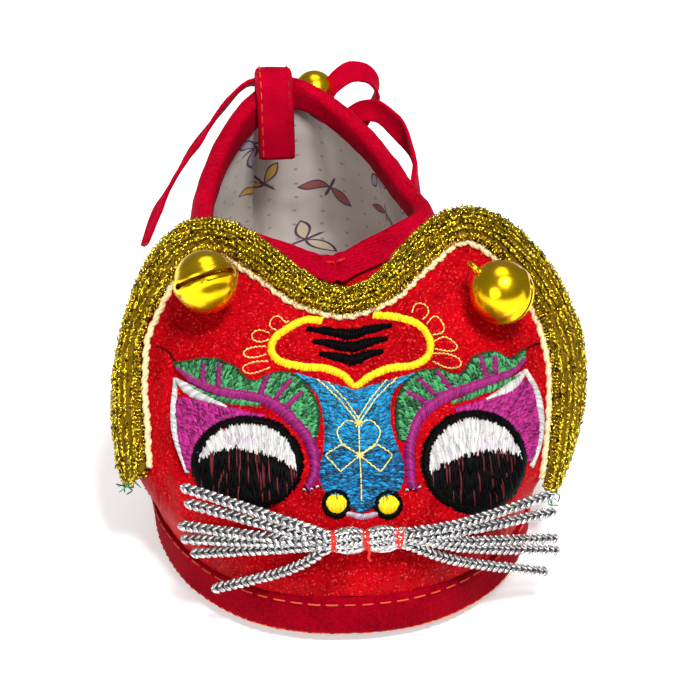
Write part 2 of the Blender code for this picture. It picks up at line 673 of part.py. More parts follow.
def make_bell(name, centre, loop, slot, diameter):
    """A hollow sleigh bell: loop gives the way its wire loop points, slot the long way of its slot."""
    loop = unit(np.array(loop, float))
    across = unit(np.array(slot, float) - loop * np.dot(slot, loop))
    axes = np.array([across, np.cross(loop, across), loop])
    radius = diameter / 2

    def add(title, sections, closed=False):
        points, faces = sections_mesh(sections, closed)
        return add_object(title, points @ axes + centre, faces, "brass", roughness=0.2, metallic=1.0)

    bell = add(name, ball_sections(radius, 14, 7))
    turn = np.linspace(0, 2 * math.pi, 10, endpoint=False)
    wire = np.linspace(0, 2 * math.pi, 6, endpoint=False)
    eye, thick = 0.24 * radius, 0.085 * radius
    hoop = np.array(
        [
            [((eye + thick * math.cos(w)) * math.cos(a), thick * math.sin(w), (eye + thick * math.cos(w)) * math.sin(a))
             for w in wire]
            for a in turn
        ]
    ) + (0, 0, radius + 0.6 * eye)
    long, wide = 0.78 * radius, 0.11 * radius
    corners = np.array([(-long, -wide), (long, -wide), (long, wide), (-long, wide)])
    levels = [np.column_stack([corners, np.full(4, z * radius)]) for z in (-1.3, -0.25)]
    parts = (
        ("hoop", hoop, True, "UNION"),
        ("hollow", ball_sections(radius - BELL_SHEET, 12, 6), False, "DIFFERENCE"),
        ("slot", np.array(levels), False, "DIFFERENCE"),
    )
    for title, sections, closed, operation in parts:
        tool = add(f"{name}_{title}_tool", sections, closed)
        tool.hide_render = True
        tool.display_type = "WIRE"
        cut = bell.modifiers.new(title, "BOOLEAN")
        cut.operation, cut.object, cut.solver = operation, tool, "EXACT"


def make_ear_bells(tree):
    back = np.array((0, -math.cos(FACE_ELEVATION), math.sin(FACE_ELEVATION)))
    for bell in EAR_BELLS:
        spot, normal = (v[0] for v in chart_spots(tree, [(bell.across, bell.up)]))
        centre = spot + back * bell.clear / np.dot(normal, back)
        make_bell(f"bell_ear_{bell.side}", centre, bell.loop, bell.slot, EAR_BELL_DIAMETER)


# Whiskers, pull tab and ties


def tube_sections(path, radius, around):
    """Round sections along a path."""
    ahead = unit(np.gradient(path, axis=0))
    aside = unit(np.cross(ahead, (0.0, 0.0, 1.0)))
    over = np.cross(aside, ahead)
    turn = np.linspace(0, 2 * math.pi, around, endpoint=False)
    return np.array(
        [p + np.outer(np.cos(turn), a * r) + np.outer(np.sin(turn), o * r)
         for p, a, o, r in zip(path, aside, over, np.broadcast_to(radius, len(path)))]
    )


def make_whiskers():
    knot_at = placed(*WHISKER_KNOT)
    reach = np.linspace(-0.97, 0.97, 9)
    line = knot_at + np.outer(reach, (KNOT_LENGTH / 2, 0, 0))
    radius = KNOT_DIAMETER / 2 * np.sqrt(1 - reach**2)
    points, faces = sections_mesh(tube_sections(line, radius, 10), closed=False)
    knot = add_object("whiskers", points, faces, "silver", roughness=0.35, metallic=0.6)
    for i, strand in enumerate(STRANDS):
        side = 1 if strand.across > 0 else -1
        end = placed(*strand)
        start = knot_at + (side * 2.0, 0, 0)
        path = through([start, (start + end) / 2 + (0, -2.2, 0.6), end], 7)
        points, faces = sections_mesh(tube_sections(path, WHISKER_DIAMETER / 2, 5), closed=False)
        tool = add_object(f"strand_tool_{i + 1}", points, faces, "silver")
        tool.hide_render = True
        tool.display_type = "WIRE"
        join = knot.modifiers.new(f"strand {i + 1}", "BOOLEAN")
        join.operation, join.object, join.solver = "UNION", tool, "EXACT"


def tape_sections(path, width_aim, width, thickness):
    """Flat sections along a path, their width turned as near the aim as the path allows."""
    ahead = unit(np.gradient(path, axis=0))
    aside = unit(width_aim - ahead * np.sum(width_aim * ahead, axis=1, keepdims=True))
    over = np.cross(ahead, aside)
    corners = ((-1, -0.6), (-0.9, -1), (0.9, -1), (1, -0.6), (1, 0.6), (0.9, 1), (-0.9, 1), (-1, 0.6))
    return np.stack([path + aside * (width / 2 * w) + over * (thickness / 2 * t) for w, t in corners], axis=1)


def make_heel_tab():
    run = np.array(TAB_RUN)
    path = through(placed(TAB_ACROSS, run[:, 0], run[:, 1]), 15)
    aim = np.tile((1.0, 0.0, 0.0), (len(path), 1))
    add_loft("heel_tab", tape_sections(path, aim, TAB_WIDTH, TAB_THICKNESS), "tape")


def make_ties():
    size = np.array(TIE_KNOT_SIZE) / 2
    add_loft("tie_knot", ball_sections(1.0, 12, 7) * size + placed(*TIE_KNOT_AT), "tape")
    for name, run in TIE_RUNS.items():
        path = through([placed(*point) for point in run], 15)
        first, last = (np.array(v) for v in TIE_WIDTH_AIM[name])
        share = np.linspace(0, 1, len(path))[:, None]
        add_loft(name, tape_sections(path, unit(first * (1 - share) + last * share), TIE_WIDTH, TIE_THICKNESS), "tape")


def clear_scene():
    for item in list(bpy.data.objects):
        bpy.data.objects.remove(item)


def main():
    clear_scene()
    make_outsole()
    make_insole()
    upper = make_upper()
    make_sole_band()
    collar = make_collar_tape()
    face = make_face_panel(tree_of(upper, collar))
    make_braid(face)
    face_tree = tree_of_grid(face)
    make_embroidery(face_tree)
    make_ear_bells(face_tree)
    make_bell("bell_heel", placed(*HEEL_BELL_AT), (0.1, -0.5, -0.85), (1, 0, 0), HEEL_BELL_DIAMETER)
    make_whiskers()
    make_heel_tab()
    make_ties()


main()
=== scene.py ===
import math

import bmesh
import bpy
import numpy as np
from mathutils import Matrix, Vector
from mathutils.bvhtree import BVHTree
from mathutils.noise import noise


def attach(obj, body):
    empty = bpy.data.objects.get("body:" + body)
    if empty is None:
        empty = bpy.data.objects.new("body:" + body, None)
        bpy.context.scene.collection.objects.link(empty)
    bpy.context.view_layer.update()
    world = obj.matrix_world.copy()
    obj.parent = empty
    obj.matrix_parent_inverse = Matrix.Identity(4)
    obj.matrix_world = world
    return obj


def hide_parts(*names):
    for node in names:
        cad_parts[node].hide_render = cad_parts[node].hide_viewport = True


# The tiger slipper's looks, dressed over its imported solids. Tables are in millimetres, meshes in metres.
# The toe points along -Y; "along" is counted from the sole's toe, "across" to the right of the face.

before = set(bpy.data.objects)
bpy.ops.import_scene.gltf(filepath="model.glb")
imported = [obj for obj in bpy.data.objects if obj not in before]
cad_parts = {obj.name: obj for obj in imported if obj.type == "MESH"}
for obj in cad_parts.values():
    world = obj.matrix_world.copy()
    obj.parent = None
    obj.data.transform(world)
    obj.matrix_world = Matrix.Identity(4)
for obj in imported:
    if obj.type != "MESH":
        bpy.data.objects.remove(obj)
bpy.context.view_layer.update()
mm = 0.001
toeY = -60.3
dice = np.random.default_rng(26)
print("frame loaded,", len(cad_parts), "nodes")


# points and lines

def spot(across, along, height):
    return np.array((across, along + toeY, height), float) * mm


def unit(v):
    v = np.asarray(v, float)
    return v / np.maximum(np.linalg.norm(v, axis=-1, keepdims=True), 1e-12)


def clamp(value):
    return min(max(value, 0.0), 1.0)


def hump(off, half):  # a soft bump: 1 in the middle, fading past its half width
    return math.exp(-((off / half) ** 2))


def runOf(line):  # length from the start to each point
    return np.concatenate([[0], np.cumsum(np.linalg.norm(np.diff(line, axis=0), axis=1))])


def readAt(at, run, values):  # vectors read off at places along a run
    return np.stack([np.interp(at, run, values[:, k]) for k in range(values.shape[1])], axis=1)


def evenly(line, count):
    line = np.asarray(line, float)
    run = runOf(line)
    return readAt(np.linspace(0, run[-1], count), run, line)


def smoothLine(points, count):  # evenly spaced points on a soft curve through the given ones
    p = np.asarray(points, float)
    wide = np.vstack([2 * p[0] - p[1], p, 2 * p[-1] - p[-2]])
    t = np.linspace(0, len(p) - 1, 12 * count)
    i = np.minimum(t.astype(int), len(p) - 2)
    f = (t - i)[:, None]
    a, b, c, d = wide[i], wide[i + 1], wide[i + 2], wide[i + 3]
    curve = b + 0.5 * f * (c - a + f * (2 * a - 5 * b + 4 * c - d + f * (3 * (b - c) + d - a)))
    return evenly(curve, count)


def softened(values, rounds, closed=False):
    values = np.array(values, float)
    for _ in range(rounds):
        if closed:
            values = (np.roll(values, 1, 0) + 2 * values + np.roll(values, -1, 0)) / 4
        else:
            values[1:-1] = (values[:-2] + 2 * values[1:-1] + values[2:]) / 4
    return values


def headings(line):  # the way a line runs at each point
    return unit(np.gradient(line, axis=0))


def squared(aim, ahead):  # a direction turned square to the run
    return unit(aim - ahead * np.sum(aim * ahead, axis=1, keepdims=True))


# meshes

def pieceName(nodeName):  # tie_loop_left becomes tieLoopLeft
    first, *rest = nodeName.split("_")
    return first + "".join(word.title() for word in rest)


def newPiece(name, points, faces=(), edges=(), material=None):
    mesh = bpy.data.meshes.new(name)
    mesh.from_pydata([tuple(p) for p in points], [tuple(e) for e in edges], [tuple(f) for f in faces])
    if material:
        mesh.materials.append(material)
    obj = bpy.data.objects.new(name, mesh)
    bpy.context.scene.collection.objects.link(obj)
    return obj


def dress(obj, slot, *nodeNames):  # rides the shoe and stands for CAD nodes, which it hides; slot is not used
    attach(obj, "root")
    if nodeNames:
        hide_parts(*nodeNames)
    return obj


def tidyMesh(obj):  # faces outwards, shaded smooth
    work = bmesh.new()
    work.from_mesh(obj.data)
    bmesh.ops.recalc_face_normals(work, faces=work.faces)
    work.to_mesh(obj.data)
    work.free()
    obj.data.shade_smooth()
    return obj


def baked(obj):  # the evaluated mesh takes the place of the one with modifiers
    bpy.context.view_layer.update()
    made = bpy.data.meshes.new_from_object(obj.evaluated_get(bpy.context.evaluated_depsgraph_get()))
    made.name = obj.name
    obj.modifiers.clear()
    obj.data = made
    return obj


quadAngles = {"angle_face_threshold": math.radians(50), "angle_shape_threshold": math.radians(80)}


def softCopy(nodeName, name, levels, material, keep=None):  # a CAD solid, merged to quads and subdivided
    work = bmesh.new()
    work.from_mesh(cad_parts[nodeName].data)
    bmesh.ops.remove_doubles(work, verts=work.verts, dist=1e-6)
    bmesh.ops.join_triangles(work, faces=work.faces, **quadAngles)
    if keep:
        bmesh.ops.delete(work, geom=[f for f in work.faces if not keep(f)], context="FACES")
    obj = newPiece(name, [])
    work.to_mesh(obj.data)
    work.free()
    obj.data.materials.clear()
    obj.data.materials.append(material)
    rounder = obj.modifiers.new("rounder", "SUBSURF")
    rounder.levels = rounder.render_levels = levels
    baked(obj)
    obj.data.shade_smooth()
    return obj


def treeOf(*objs):
    points, faces = [], []
    for obj in objs:
        start = len(points)
        points += [v.co.copy() for v in obj.data.vertices]
        faces += [[start + i for i in p.vertices] for p in obj.data.polygons]
    return BVHTree.FromPolygons(points, faces)


def ripple(co, waves):  # depth in mm and rate of each wave
    return sum(depth * noise(co * rate) for depth, rate in waves)


def moveVerts(obj, shift):  # shift(co) gives how far each vertex goes along its normal, in mm
    normals = [v.normal.copy() for v in obj.data.vertices]
    for v, n in zip(obj.data.vertices, normals):
        v.co += n * (shift(v.co) * mm)
    obj.data.update()


def setUv(obj, place):  # place(co) gives the cloth's own two coordinates in mm
    layer = obj.data.uv_layers.get("cloth") or obj.data.uv_layers.new(name="cloth")
    spots = np.array([place(v.co) for v in obj.data.vertices])
    loops = np.empty(len(obj.data.loops), int)
    obj.data.loops.foreach_get("vertex_index", loops)
    layer.data.foreach_set("uv", (spots[loops] / 10).ravel())


def ringFaces(rows, cols):  # quads between closed rows of points
    return [
        (i * cols + j, (i + 1) * cols + j, (i + 1) * cols + (j + 1) % cols, i * cols + (j + 1) % cols)
        for i in range(rows - 1) for j in range(cols)
    ]


def endFaces(rows, cols):  # the two caps of such a tube
    return [tuple(range(cols)), tuple(range((rows - 1) * cols, rows * cols))]


def sweep(name, path, aside, over, outline, material):  # a closed outline carried along a path
    outline, rows, cols = np.asarray(outline, float), len(path), len(outline)
    points = [path[i] + (aside[i] * u + over[i] * v) * mm for i in range(rows) for u, v in outline]
    obj = newPiece(name, points, ringFaces(rows, cols) + endFaces(rows, cols), material=material)
    layer = obj.data.uv_layers.new(name="cloth")
    run, girth = runOf(path) / mm, runOf(np.vstack([outline, outline[:1]]))[:-1]
    for poly in obj.data.polygons:
        for k in poly.loop_indices:
            v = obj.data.loops[k].vertex_index
            layer.data[k].uv = (girth[v % cols] / 10, run[v // cols] / 10)
    return tidyMesh(obj)


# nodes, for geometry and for materials

def feed(tree, socket, value):  # a link or a plain value
    if isinstance(value, bpy.types.NodeSocket):
        tree.links.new(value, socket)
    else:
        socket.default_value = value


def nodeAdder(tree, prefix):  # inputs go by the socket's name, or by its number as i0, i1
    def add(kind, settings=None, **inputs):
        made = tree.nodes.new(kind if kind.startswith(("Function", "Shader")) else prefix + kind)
        for key, value in (settings or {}).items():
            setattr(made, key, value)
        for label, value in inputs.items():
            numbered = label[0] == "i" and label[1:].isdigit()
            feed(tree, made.inputs[int(label[1:]) if numbered else label.replace("_", " ")], value)
        return made

    return add


def calc(add, operation, a, b=0.0, c=0.0):  # a Math node's result
    return add("ShaderNodeMath", {"operation": operation}, i0=a, i1=b, i2=c).outputs[0]


def nodeTree(name, *inputs):
    tree = bpy.data.node_groups.new(name, "GeometryNodeTree")
    tree.interface.new_socket("Geometry", in_out="INPUT", socket_type="NodeSocketGeometry")
    for label, kind, value in (*inputs, ("Material", "Material", None)):
        socket = tree.interface.new_socket(label, in_out="INPUT", socket_type="NodeSocket" + kind)
        if value is not None:
            socket.default_value = value
    tree.interface.new_socket("Geometry", in_out="OUTPUT", socket_type="NodeSocketGeometry")
    given = tree.nodes.new("NodeGroupInput").outputs
    last = tree.nodes.new("NodeGroupOutput")
    add = nodeAdder(tree, "GeometryNode")

    def close(geometry):
        real = add("RealizeInstances", Geometry=geometry)
        smooth = add("SetShadeSmooth", Geometry=real.outputs[0])
        paint = add("SetMaterial", Geometry=smooth.outputs[0], Material=given["Material"])
        tree.links.new(paint.outputs[0], last.inputs[0])
        return tree

    return given, add, close


def runTree(obj, tree, **values):
    made = obj.modifiers.new(tree.name, "NODES")
    made.node_group = tree
    for item in tree.interface.items_tree:
        if item.in_out == "INPUT" and item.name in values:
            made[item.identifier] = values[item.name]
    return baked(obj)


def facedTurn(add, ahead):  # X runs ahead and Z looks along the vertex's own "facing"
    up = add("InputNamedAttribute", {"data_type": "FLOAT_VECTOR"}, Name="facing")
    turn = add("FunctionNodeAlignRotationToVector", {"axis": "X"}, Vector=ahead)
    face = add(
        "FunctionNodeAlignRotationToVector", {"axis": "Z", "pivot_axis": "X"},
        Rotation=turn.outputs[0], Vector=up.outputs[0]
    )
    return face.outputs[0]


def makeThreadTree():  # every polyline becomes a round thread
    given, add, close = nodeTree("threads", ("Radius", "Float", 0.0002), ("Sides", "Int", 5))
    line = add("MeshToCurve", Mesh=given["Geometry"])
    ring = add("CurvePrimitiveCircle", Resolution=given["Sides"], Radius=given["Radius"])
    tube = add("CurveToMesh", Curve=line.outputs[0], Profile_Curve=ring.outputs[0], Fill_Caps=True)
    return close(tube.outputs[0])


def makeSeamTree():  # running stitches: a short bent thread every pitch
    given, add, close = nodeTree(
        "seam", ("Pitch", "Float", 0.003), ("Stitch", "Float", 0.002), ("Radius", "Float", 0.0002),
        ("Proud", "Float", 0.0002), ("Seed", "Int", 3)
    )
    line = add("MeshToCurve", Mesh=given["Geometry"])
    even = add("ResampleCurve", {"mode": "LENGTH"}, Curve=line.outputs[0], Length=given["Pitch"])
    first = add("ShaderNodeCombineXYZ", X=calc(add, "MULTIPLY", given["Stitch"], -0.5))
    final = add("ShaderNodeCombineXYZ", X=calc(add, "MULTIPLY", given["Stitch"], 0.5))
    top = add("ShaderNodeCombineXYZ", Z=given["Proud"])
    arc = add(
        "CurveQuadraticBezier", Start=first.outputs[0], Middle=top.outputs[0], End=final.outputs[0],
        Resolution=4
    )
    ring = add("CurvePrimitiveCircle", Resolution=5, Radius=given["Radius"])
    one = add("CurveToMesh", Curve=arc.outputs[0], Profile_Curve=ring.outputs[0], Fill_Caps=True)
    face = facedTurn(add, add("InputTangent").outputs[0])
    vary = add("FunctionNodeRandomValue", {"data_type": "FLOAT"}, i2=0.86, i3=1.12, Seed=given["Seed"])
    many = add(
        "InstanceOnPoints", Points=even.outputs[0], Instance=one.outputs[0],
        Rotation=face, Scale=vary.outputs[1]
    )
    return close(many.outputs[0])


def makeScatterTree():  # a small shape on every vertex, turned by the vertex's own attributes
    given, add, close = nodeTree(
        "scatter", ("Shape", "Object", None), ("Size", "Float", 1.0), ("Tilt", "Float", 0.0),
        ("Vary", "Float", 0.2), ("Seed", "Int", 5)
    )
    ahead = add("InputNamedAttribute", {"data_type": "FLOAT_VECTOR"}, Name="ahead")
    face = facedTurn(add, ahead.outputs[0])
    less = calc(add, "MULTIPLY", given["Tilt"], -1.0)
    low = add("ShaderNodeCombineXYZ", X=less, Y=less, Z=less)
    high = add("ShaderNodeCombineXYZ", X=given["Tilt"], Y=given["Tilt"], Z=given["Tilt"])
    loose = add(
        "FunctionNodeRandomValue", {"data_type": "FLOAT_VECTOR"},
        i0=low.outputs[0], i1=high.outputs[0], Seed=given["Seed"]
    )
    wild = add("FunctionNodeEulerToRotation", Euler=loose.outputs[0])
    spin = add(
        "FunctionNodeRotateRotation", {"rotation_space": "LOCAL"}, Rotation=face, Rotate_By=wild.outputs[0]
    )
    vary = add(
        "FunctionNodeRandomValue", {"data_type": "FLOAT"}, i2=calc(add, "SUBTRACT", 1.0, given["Vary"]),
        i3=calc(add, "ADD", 1.0, given["Vary"]), Seed=given["Seed"]
    )
    shape = add("ObjectInfo", {"transform_space": "ORIGINAL"}, Object=given["Shape"])
    many = add(
        "InstanceOnPoints", Points=given["Geometry"], Instance=shape.outputs["Geometry"],
        Rotation=spin.outputs[0], Scale=calc(add, "MULTIPLY", vary.outputs[1], given["Size"])
    )
    return close(many.outputs[0])


threadTree, seamTree, scatterTree = makeThreadTree(), makeSeamTree(), makeScatterTree()


def give(obj, label, values):  # a vertex attribute: numbers or vectors
    values = np.asarray(values, np.float32)
    kind, field = ("FLOAT_VECTOR", "vector") if values.ndim == 2 else ("FLOAT", "value")
    obj.data.attributes.new(label, kind, "POINT").data.foreach_set(field, values.ravel())


def threadPiece(name, lines, radius, material, slot, *nodeNames, sides=5):  # points in metres, radius in mm
    points, edges, tint = [], [], []
    for line in lines:
        start = len(points)
        points += list(line)
        edges += [(start + i, start + i + 1) for i in range(len(line) - 1)]
        tint += [dice.uniform()] * len(line)
    obj = newPiece(name, points, edges=edges)
    give(obj, "tint", tint)
    runTree(obj, threadTree, Radius=radius * mm, Sides=sides, Material=material)
    return dress(obj, slot, *nodeNames)


def seamPiece(name, path, facing, look, material):  # a line of running stitches on a tape
    obj = newPiece(name, path, edges=[(i, i + 1) for i in range(len(path) - 1)])
    give(obj, "facing", facing)
    runTree(
        obj, seamTree, Pitch=look["pitch"] * mm, Stitch=look["stitch"] * mm, Radius=look["radius"] * mm,
        Proud=look["proud"] * mm, Material=material
    )
    return dress(obj, "tape")


def scatterPiece(name, places, look, material, slot, *nodeNames):  # places: points, ahead and facing
    points, ahead, facing = places
    obj = newPiece(name, points)
    give(obj, "ahead", ahead)
    give(obj, "facing", facing)
    runTree(
        obj, scatterTree, Shape=look["shape"], Size=look["size"], Tilt=look["tilt"], Vary=look["vary"],
        Material=material
    )
    return dress(obj, slot, *nodeNames)


# materials

def shading(name):
    material = bpy.data.materials.new(name)
    material.use_nodes = True
    tree = material.node_tree
    shader = tree.nodes["Principled BSDF"]

    def put(**values):
        for label, value in values.items():
            feed(tree, shader.inputs[label.replace("_", " ")], value)

    return material, nodeAdder(tree, "ShaderNode"), put


def ramp(add, factor, *stops):
    made = add("ValToRGB", Fac=factor)
    bar = made.color_ramp
    while len(bar.elements) < len(stops):
        bar.elements.new(0.5)
    for element, (at, colour) in zip(bar.elements, stops):
        element.position = at
        element.color = (*colour, 1)
    return made.outputs[0]


def tone(colour, share):
    return tuple(min(1.0, c * share) for c in colour)


def clothLook(name, look):  # woven cloth: yarn lines, slubs, blotches, a soft sheen
    material, add, put = shading(name)
    onUv, grain, colour = look.get("uv"), look["grain"], look["colour"]
    where = add("TexCoord").outputs["UV" if onUv else "Object"]
    yarn = {"Vector": where, "Distortion": 1.6, "Detail": 1.0}
    warp = add("TexWave", {"bands_direction": "X"}, Scale=grain, **yarn)
    weft = add("TexWave", {"bands_direction": "Y" if onUv else "Z"}, Scale=grain * 0.92, **yarn)
    weave = calc(add, "MULTIPLY", warp.outputs["Fac"], weft.outputs["Fac"])
    slub = add("TexNoise", Vector=where, Scale=grain * 1.3, Detail=3.0, Roughness=0.7).outputs["Fac"]
    patch = add("TexNoise", Vector=where, Scale=look["patch"], Detail=3.0).outputs["Fac"]
    mixed = calc(add, "MULTIPLY_ADD", weave, look.get("weave", 0.3), slub)
    shade = calc(add, "MULTIPLY_ADD", patch, 0.7, mixed)
    level = add("MapRange", Value=shade, From_Min=0.55, From_Max=1.3)
    hue = ramp(add, level.outputs[0], (0.1, tone(colour, 0.45)), (0.5, colour), (0.95, tone(colour, 1.5)))
    if look.get("speck"):  # painted glints: tiny bright specks mixed into the base colour, standing for light caught by the satin's floats
        glintNoise = add("TexNoise", Vector=where, Scale=grain * 2.0, Detail=1.0).outputs["Fac"]
        glint = add("MapRange", Value=glintNoise, From_Min=0.60, From_Max=0.76, To_Max=look["speck"])
        lit = add("Mix", {"data_type": "RGBA"}, i0=glint.outputs[0], i6=hue, i7=(*look["paintedGlintColour"], 1))
        hue = lit.outputs[2]
    rough = add("MapRange", Value=slub, To_Min=look["rough"] - 0.15, To_Max=look["rough"] + 0.15)
    relief = {"Height": mixed, "Strength": look["relief"], "Distance": 0.0002}
    if look.get("pucker"):  # soft puckers drawn in by the sewing
        drawn = add("TexNoise", Vector=where, Scale=look["pucker"], Detail=2.0, Distortion=0.6)
        swell = add("Bump", Height=drawn.outputs["Fac"], Strength=0.7, Distance=0.0025)
        relief["Normal"] = swell.outputs[0]
    tint = (*look["glossTint"], 1)
    put(
        Base_Color=hue, Roughness=rough.outputs[0], Normal=add("Bump", **relief).outputs[0], IOR=1.2,
        Specular_IOR_Level=look["gloss"], Specular_Tint=tint,
        Sheen_Weight=look["sheen"], Sheen_Roughness=0.45, Sheen_Tint=tint
    )
    return material


def threadLook(name, colour, gloss=0.2, spread=0.5):  # each stitch has its own tint
    material, add, put = shading(name)
    own = add("Attribute", {"attribute_name": "tint"}).outputs["Fac"]
    where = add("TexCoord").outputs["Object"]
    ply = add("TexNoise", Vector=where, Scale=5200.0, Detail=1.0).outputs["Fac"]
    shade = calc(add, "SUBTRACT", calc(add, "MULTIPLY_ADD", own, 0.75, ply), 0.37)
    hue = ramp(add, shade, (0.08, tone(colour, 1 - spread)), (0.5, colour), (0.92, tone(colour, 1 + spread)))
    bump = add("Bump", Height=ply, Strength=0.35, Distance=0.0001)
    put(
        Base_Color=hue, Roughness=0.42, Normal=bump.outputs[0], Specular_IOR_Level=gloss,
        Sheen_Weight=0.03, Sheen_Tint=(*tone(colour, 1.2), 1)
    )
    return material


def tinselLook(name, dark, bright, rough, grain=2600.0, middle=0.55):  # metal film, each flake its own shade
    material, add, put = shading(name)
    where = add("TexCoord").outputs["Object"]
    cell = add("TexVoronoi", Vector=where, Scale=grain)
    value = add("SeparateColor", Color=cell.outputs["Color"])
    hue = ramp(add, value.outputs[0], (0.0, dark), (0.5, tone(bright, middle)), (1.0, bright))
    dull = add("MapRange", Value=value.outputs[1], To_Min=rough, To_Max=rough + 0.25)
    put(Base_Color=hue, Metallic=1.0, Roughness=dull.outputs[0])
    return material


def brassLook(name):  # hazy, a little dented
    material, add, put = shading(name)
    where = add("TexCoord").outputs["Object"]
    rub = add("TexNoise", Vector=where, Scale=900.0, Detail=4.0, Roughness=0.7).outputs["Fac"]
    haze = add("TexNoise", Vector=where, Scale=160.0, Detail=2.0).outputs["Fac"]
    hue = ramp(add, haze, (0.3, (0.80, 0.43, 0.004)), (0.7, (0.96, 0.63, 0.010)))
    dull = add("MapRange", Value=rub, To_Min=0.16, To_Max=0.32)
    bump = add("Bump", Height=haze, Strength=0.5, Distance=0.0006)
    put(Base_Color=hue, Metallic=1.0, Roughness=dull.outputs[0], Normal=bump.outputs[0])
    return material


liningPrint = {  # sizes in mm
    "cell": 13.0, "ground": (0.60, 0.54, 0.50), "dot": (0.36, 0.32, 0.33), "line": (0.11, 0.06, 0.12),
    "fills": ((0.42, 0.36, 0.48), (0.72, 0.40, 0.07), (0.36, 0.10, 0.08), (0.66, 0.58, 0.40)),
    "leaf": {"off": 2.1, "rise": 0.55, "half": (2.0, 1.15)}, "stem": {"half": 0.22, "reach": 2.4},
    "ring": {"radius": 1.9, "half": 0.32, "heart": 0.8}, "ringsAbove": 0.72, "dotPitch": 3.6,
}


def liningLook(name, look):  # leaf sprigs and rings printed on pale cotton, with a grid of small dots
    material, add, put = shading(name)
    leaf, stalk, hoop = look["leaf"], look["stem"], look["ring"]

    def sums(operation, a, b=0.0, c=0.0):
        return calc(add, operation, a, b, c)

    def under(value, limit):
        return sums("LESS_THAN", value, limit)

    where = add("TexCoord").outputs["UV"]
    flatCells = {"voronoi_dimensions": "2D"}
    cell = add("TexVoronoi", flatCells, Vector=where, Scale=10.0 / look["cell"], Randomness=0.72)
    pick = add("SeparateColor", Color=cell.outputs["Color"]).outputs
    local = add("VectorMath", {"operation": "SUBTRACT"}, i0=where, i1=cell.outputs["Position"])
    angle = sums("MULTIPLY", pick[0], 6.2832)
    turned = add("VectorRotate", {"rotation_type": "Z_AXIS"}, Vector=local.outputs[0], Angle=angle)
    flat = add("SeparateXYZ", Vector=turned.outputs[0]).outputs
    x, y = sums("MULTIPLY", flat[0], 10.0), sums("MULTIPLY", flat[1], 10.0)  # now in mm

    # two leaves, an almond on each side of the stem; or a ring
    sideX = sums("ABSOLUTE", x)
    leafX = sums("DIVIDE", sums("SUBTRACT", sideX, leaf["off"]), leaf["half"][0])
    leafY = sums("DIVIDE", sums("SUBTRACT", y, sums("MULTIPLY", sideX, leaf["rise"])), leaf["half"][1])
    almond = sums("ADD", sums("POWER", leafX, 2.0), sums("ABSOLUTE", leafY))
    pastStem = sums("MAXIMUM", sums("SUBTRACT", sums("ABSOLUTE", y), stalk["reach"]), 0.0)
    stem = sums("ADD", sums("ABSOLUTE", sums("DIVIDE", x, stalk["half"])), pastStem)
    span = sums("SQRT", sums("ADD", sums("MULTIPLY", x, x), sums("MULTIPLY", y, y)))
    ring = sums("ABSOLUTE", sums("SUBTRACT", span, hoop["radius"]))

    isRing = sums("GREATER_THAN", pick[1], look["ringsAbove"])
    isLeaf = sums("SUBTRACT", 1.0, isRing)
    leafFill = sums("MULTIPLY", isLeaf, under(almond, 1.0))
    leafEdge = sums("MULTIPLY", isLeaf, under(sums("ABSOLUTE", sums("SUBTRACT", almond, 1.0)), 0.2))
    stemLine = sums("MULTIPLY", isLeaf, under(stem, 1.0))
    ringFill = sums("MULTIPLY", isRing, under(span, hoop["heart"]))
    ringLine = sums("MULTIPLY", isRing, under(ring, hoop["half"]))
    filled = sums("MAXIMUM", leafFill, ringFill)
    lined = sums("MAXIMUM", sums("MAXIMUM", leafEdge, stemLine), ringLine)

    fillColour = ramp(add, pick[2], *[(k / len(look["fills"]), c) for k, c in enumerate(look["fills"])])
    fillColour.node.color_ramp.interpolation = "CONSTANT"
    grid = add("TexVoronoi", flatCells, Vector=where, Scale=10.0 / look["dotPitch"], Randomness=0.12)
    dots = under(grid.outputs["Distance"], 0.085)
    weave = add("TexNoise", Vector=where, Scale=26.0, Detail=3.0).outputs["Fac"]
    stain = add("TexNoise", Vector=where, Scale=0.9, Detail=2.0).outputs["Fac"]
    hue = ramp(
        add, sums("MULTIPLY_ADD", weave, 0.3, stain),
        (0.35, tone(look["ground"], 0.80)), (0.85, tone(look["ground"], 1.08))
    )
    for mask, colour in ((dots, (*look["dot"], 1)), (filled, fillColour), (lined, (*look["line"], 1))):
        hue = add("Mix", {"data_type": "RGBA"}, i0=mask, i6=hue, i7=colour).outputs[2]
    bump = add("Bump", Height=weave, Strength=0.25, Distance=0.0003)
    put(Base_Color=hue, Roughness=0.85, Normal=bump.outputs[0], Specular_IOR_Level=0.2, Sheen_Weight=0.1)
    return material


crimson = {"gloss": 0.10, "glossTint": (1.0, 0.08, 0.15), "sheen": 0.03, "relief": 0.3}
filmGround = {"grain": 900.0, "patch": 300.0, "gloss": 0.3, "sheen": 0.0}
satinRed = clothLook("satinRed", {
    "colour": (0.36, 0.0010, 0.0042), "grain": 1150.0, "weave": 0.08, "patch": 110.0, "rough": 0.40,
    "relief": 0.4, "pucker": 130.0, "gloss": 0.15, "glossTint": (1.0, 0.07, 0.07), "sheen": 0.0,
    # painted glints: bright red specks mixed into the satin's colour
    "speck": 0.6, "paintedGlintColour": (0.85, 0.06, 0.05)})
tapeRed = clothLook("tapeRed", {
    **crimson, "colour": (0.33, 0.0006, 0.012), "grain": 1400.0, "patch": 90.0, "rough": 0.65})
tieRed = clothLook("tieRed", {
    **crimson, "colour": (0.38, 0.0007, 0.015), "uv": True, "grain": 30.0, "patch": 1.3, "rough": 0.62})
bandRed = clothLook("bandRed", {
    **crimson, "colour": (0.22, 0.0004, 0.0065), "grain": 1300.0, "patch": 80.0, "rough": 0.72,
    "relief": 0.35, "gloss": 0.08})
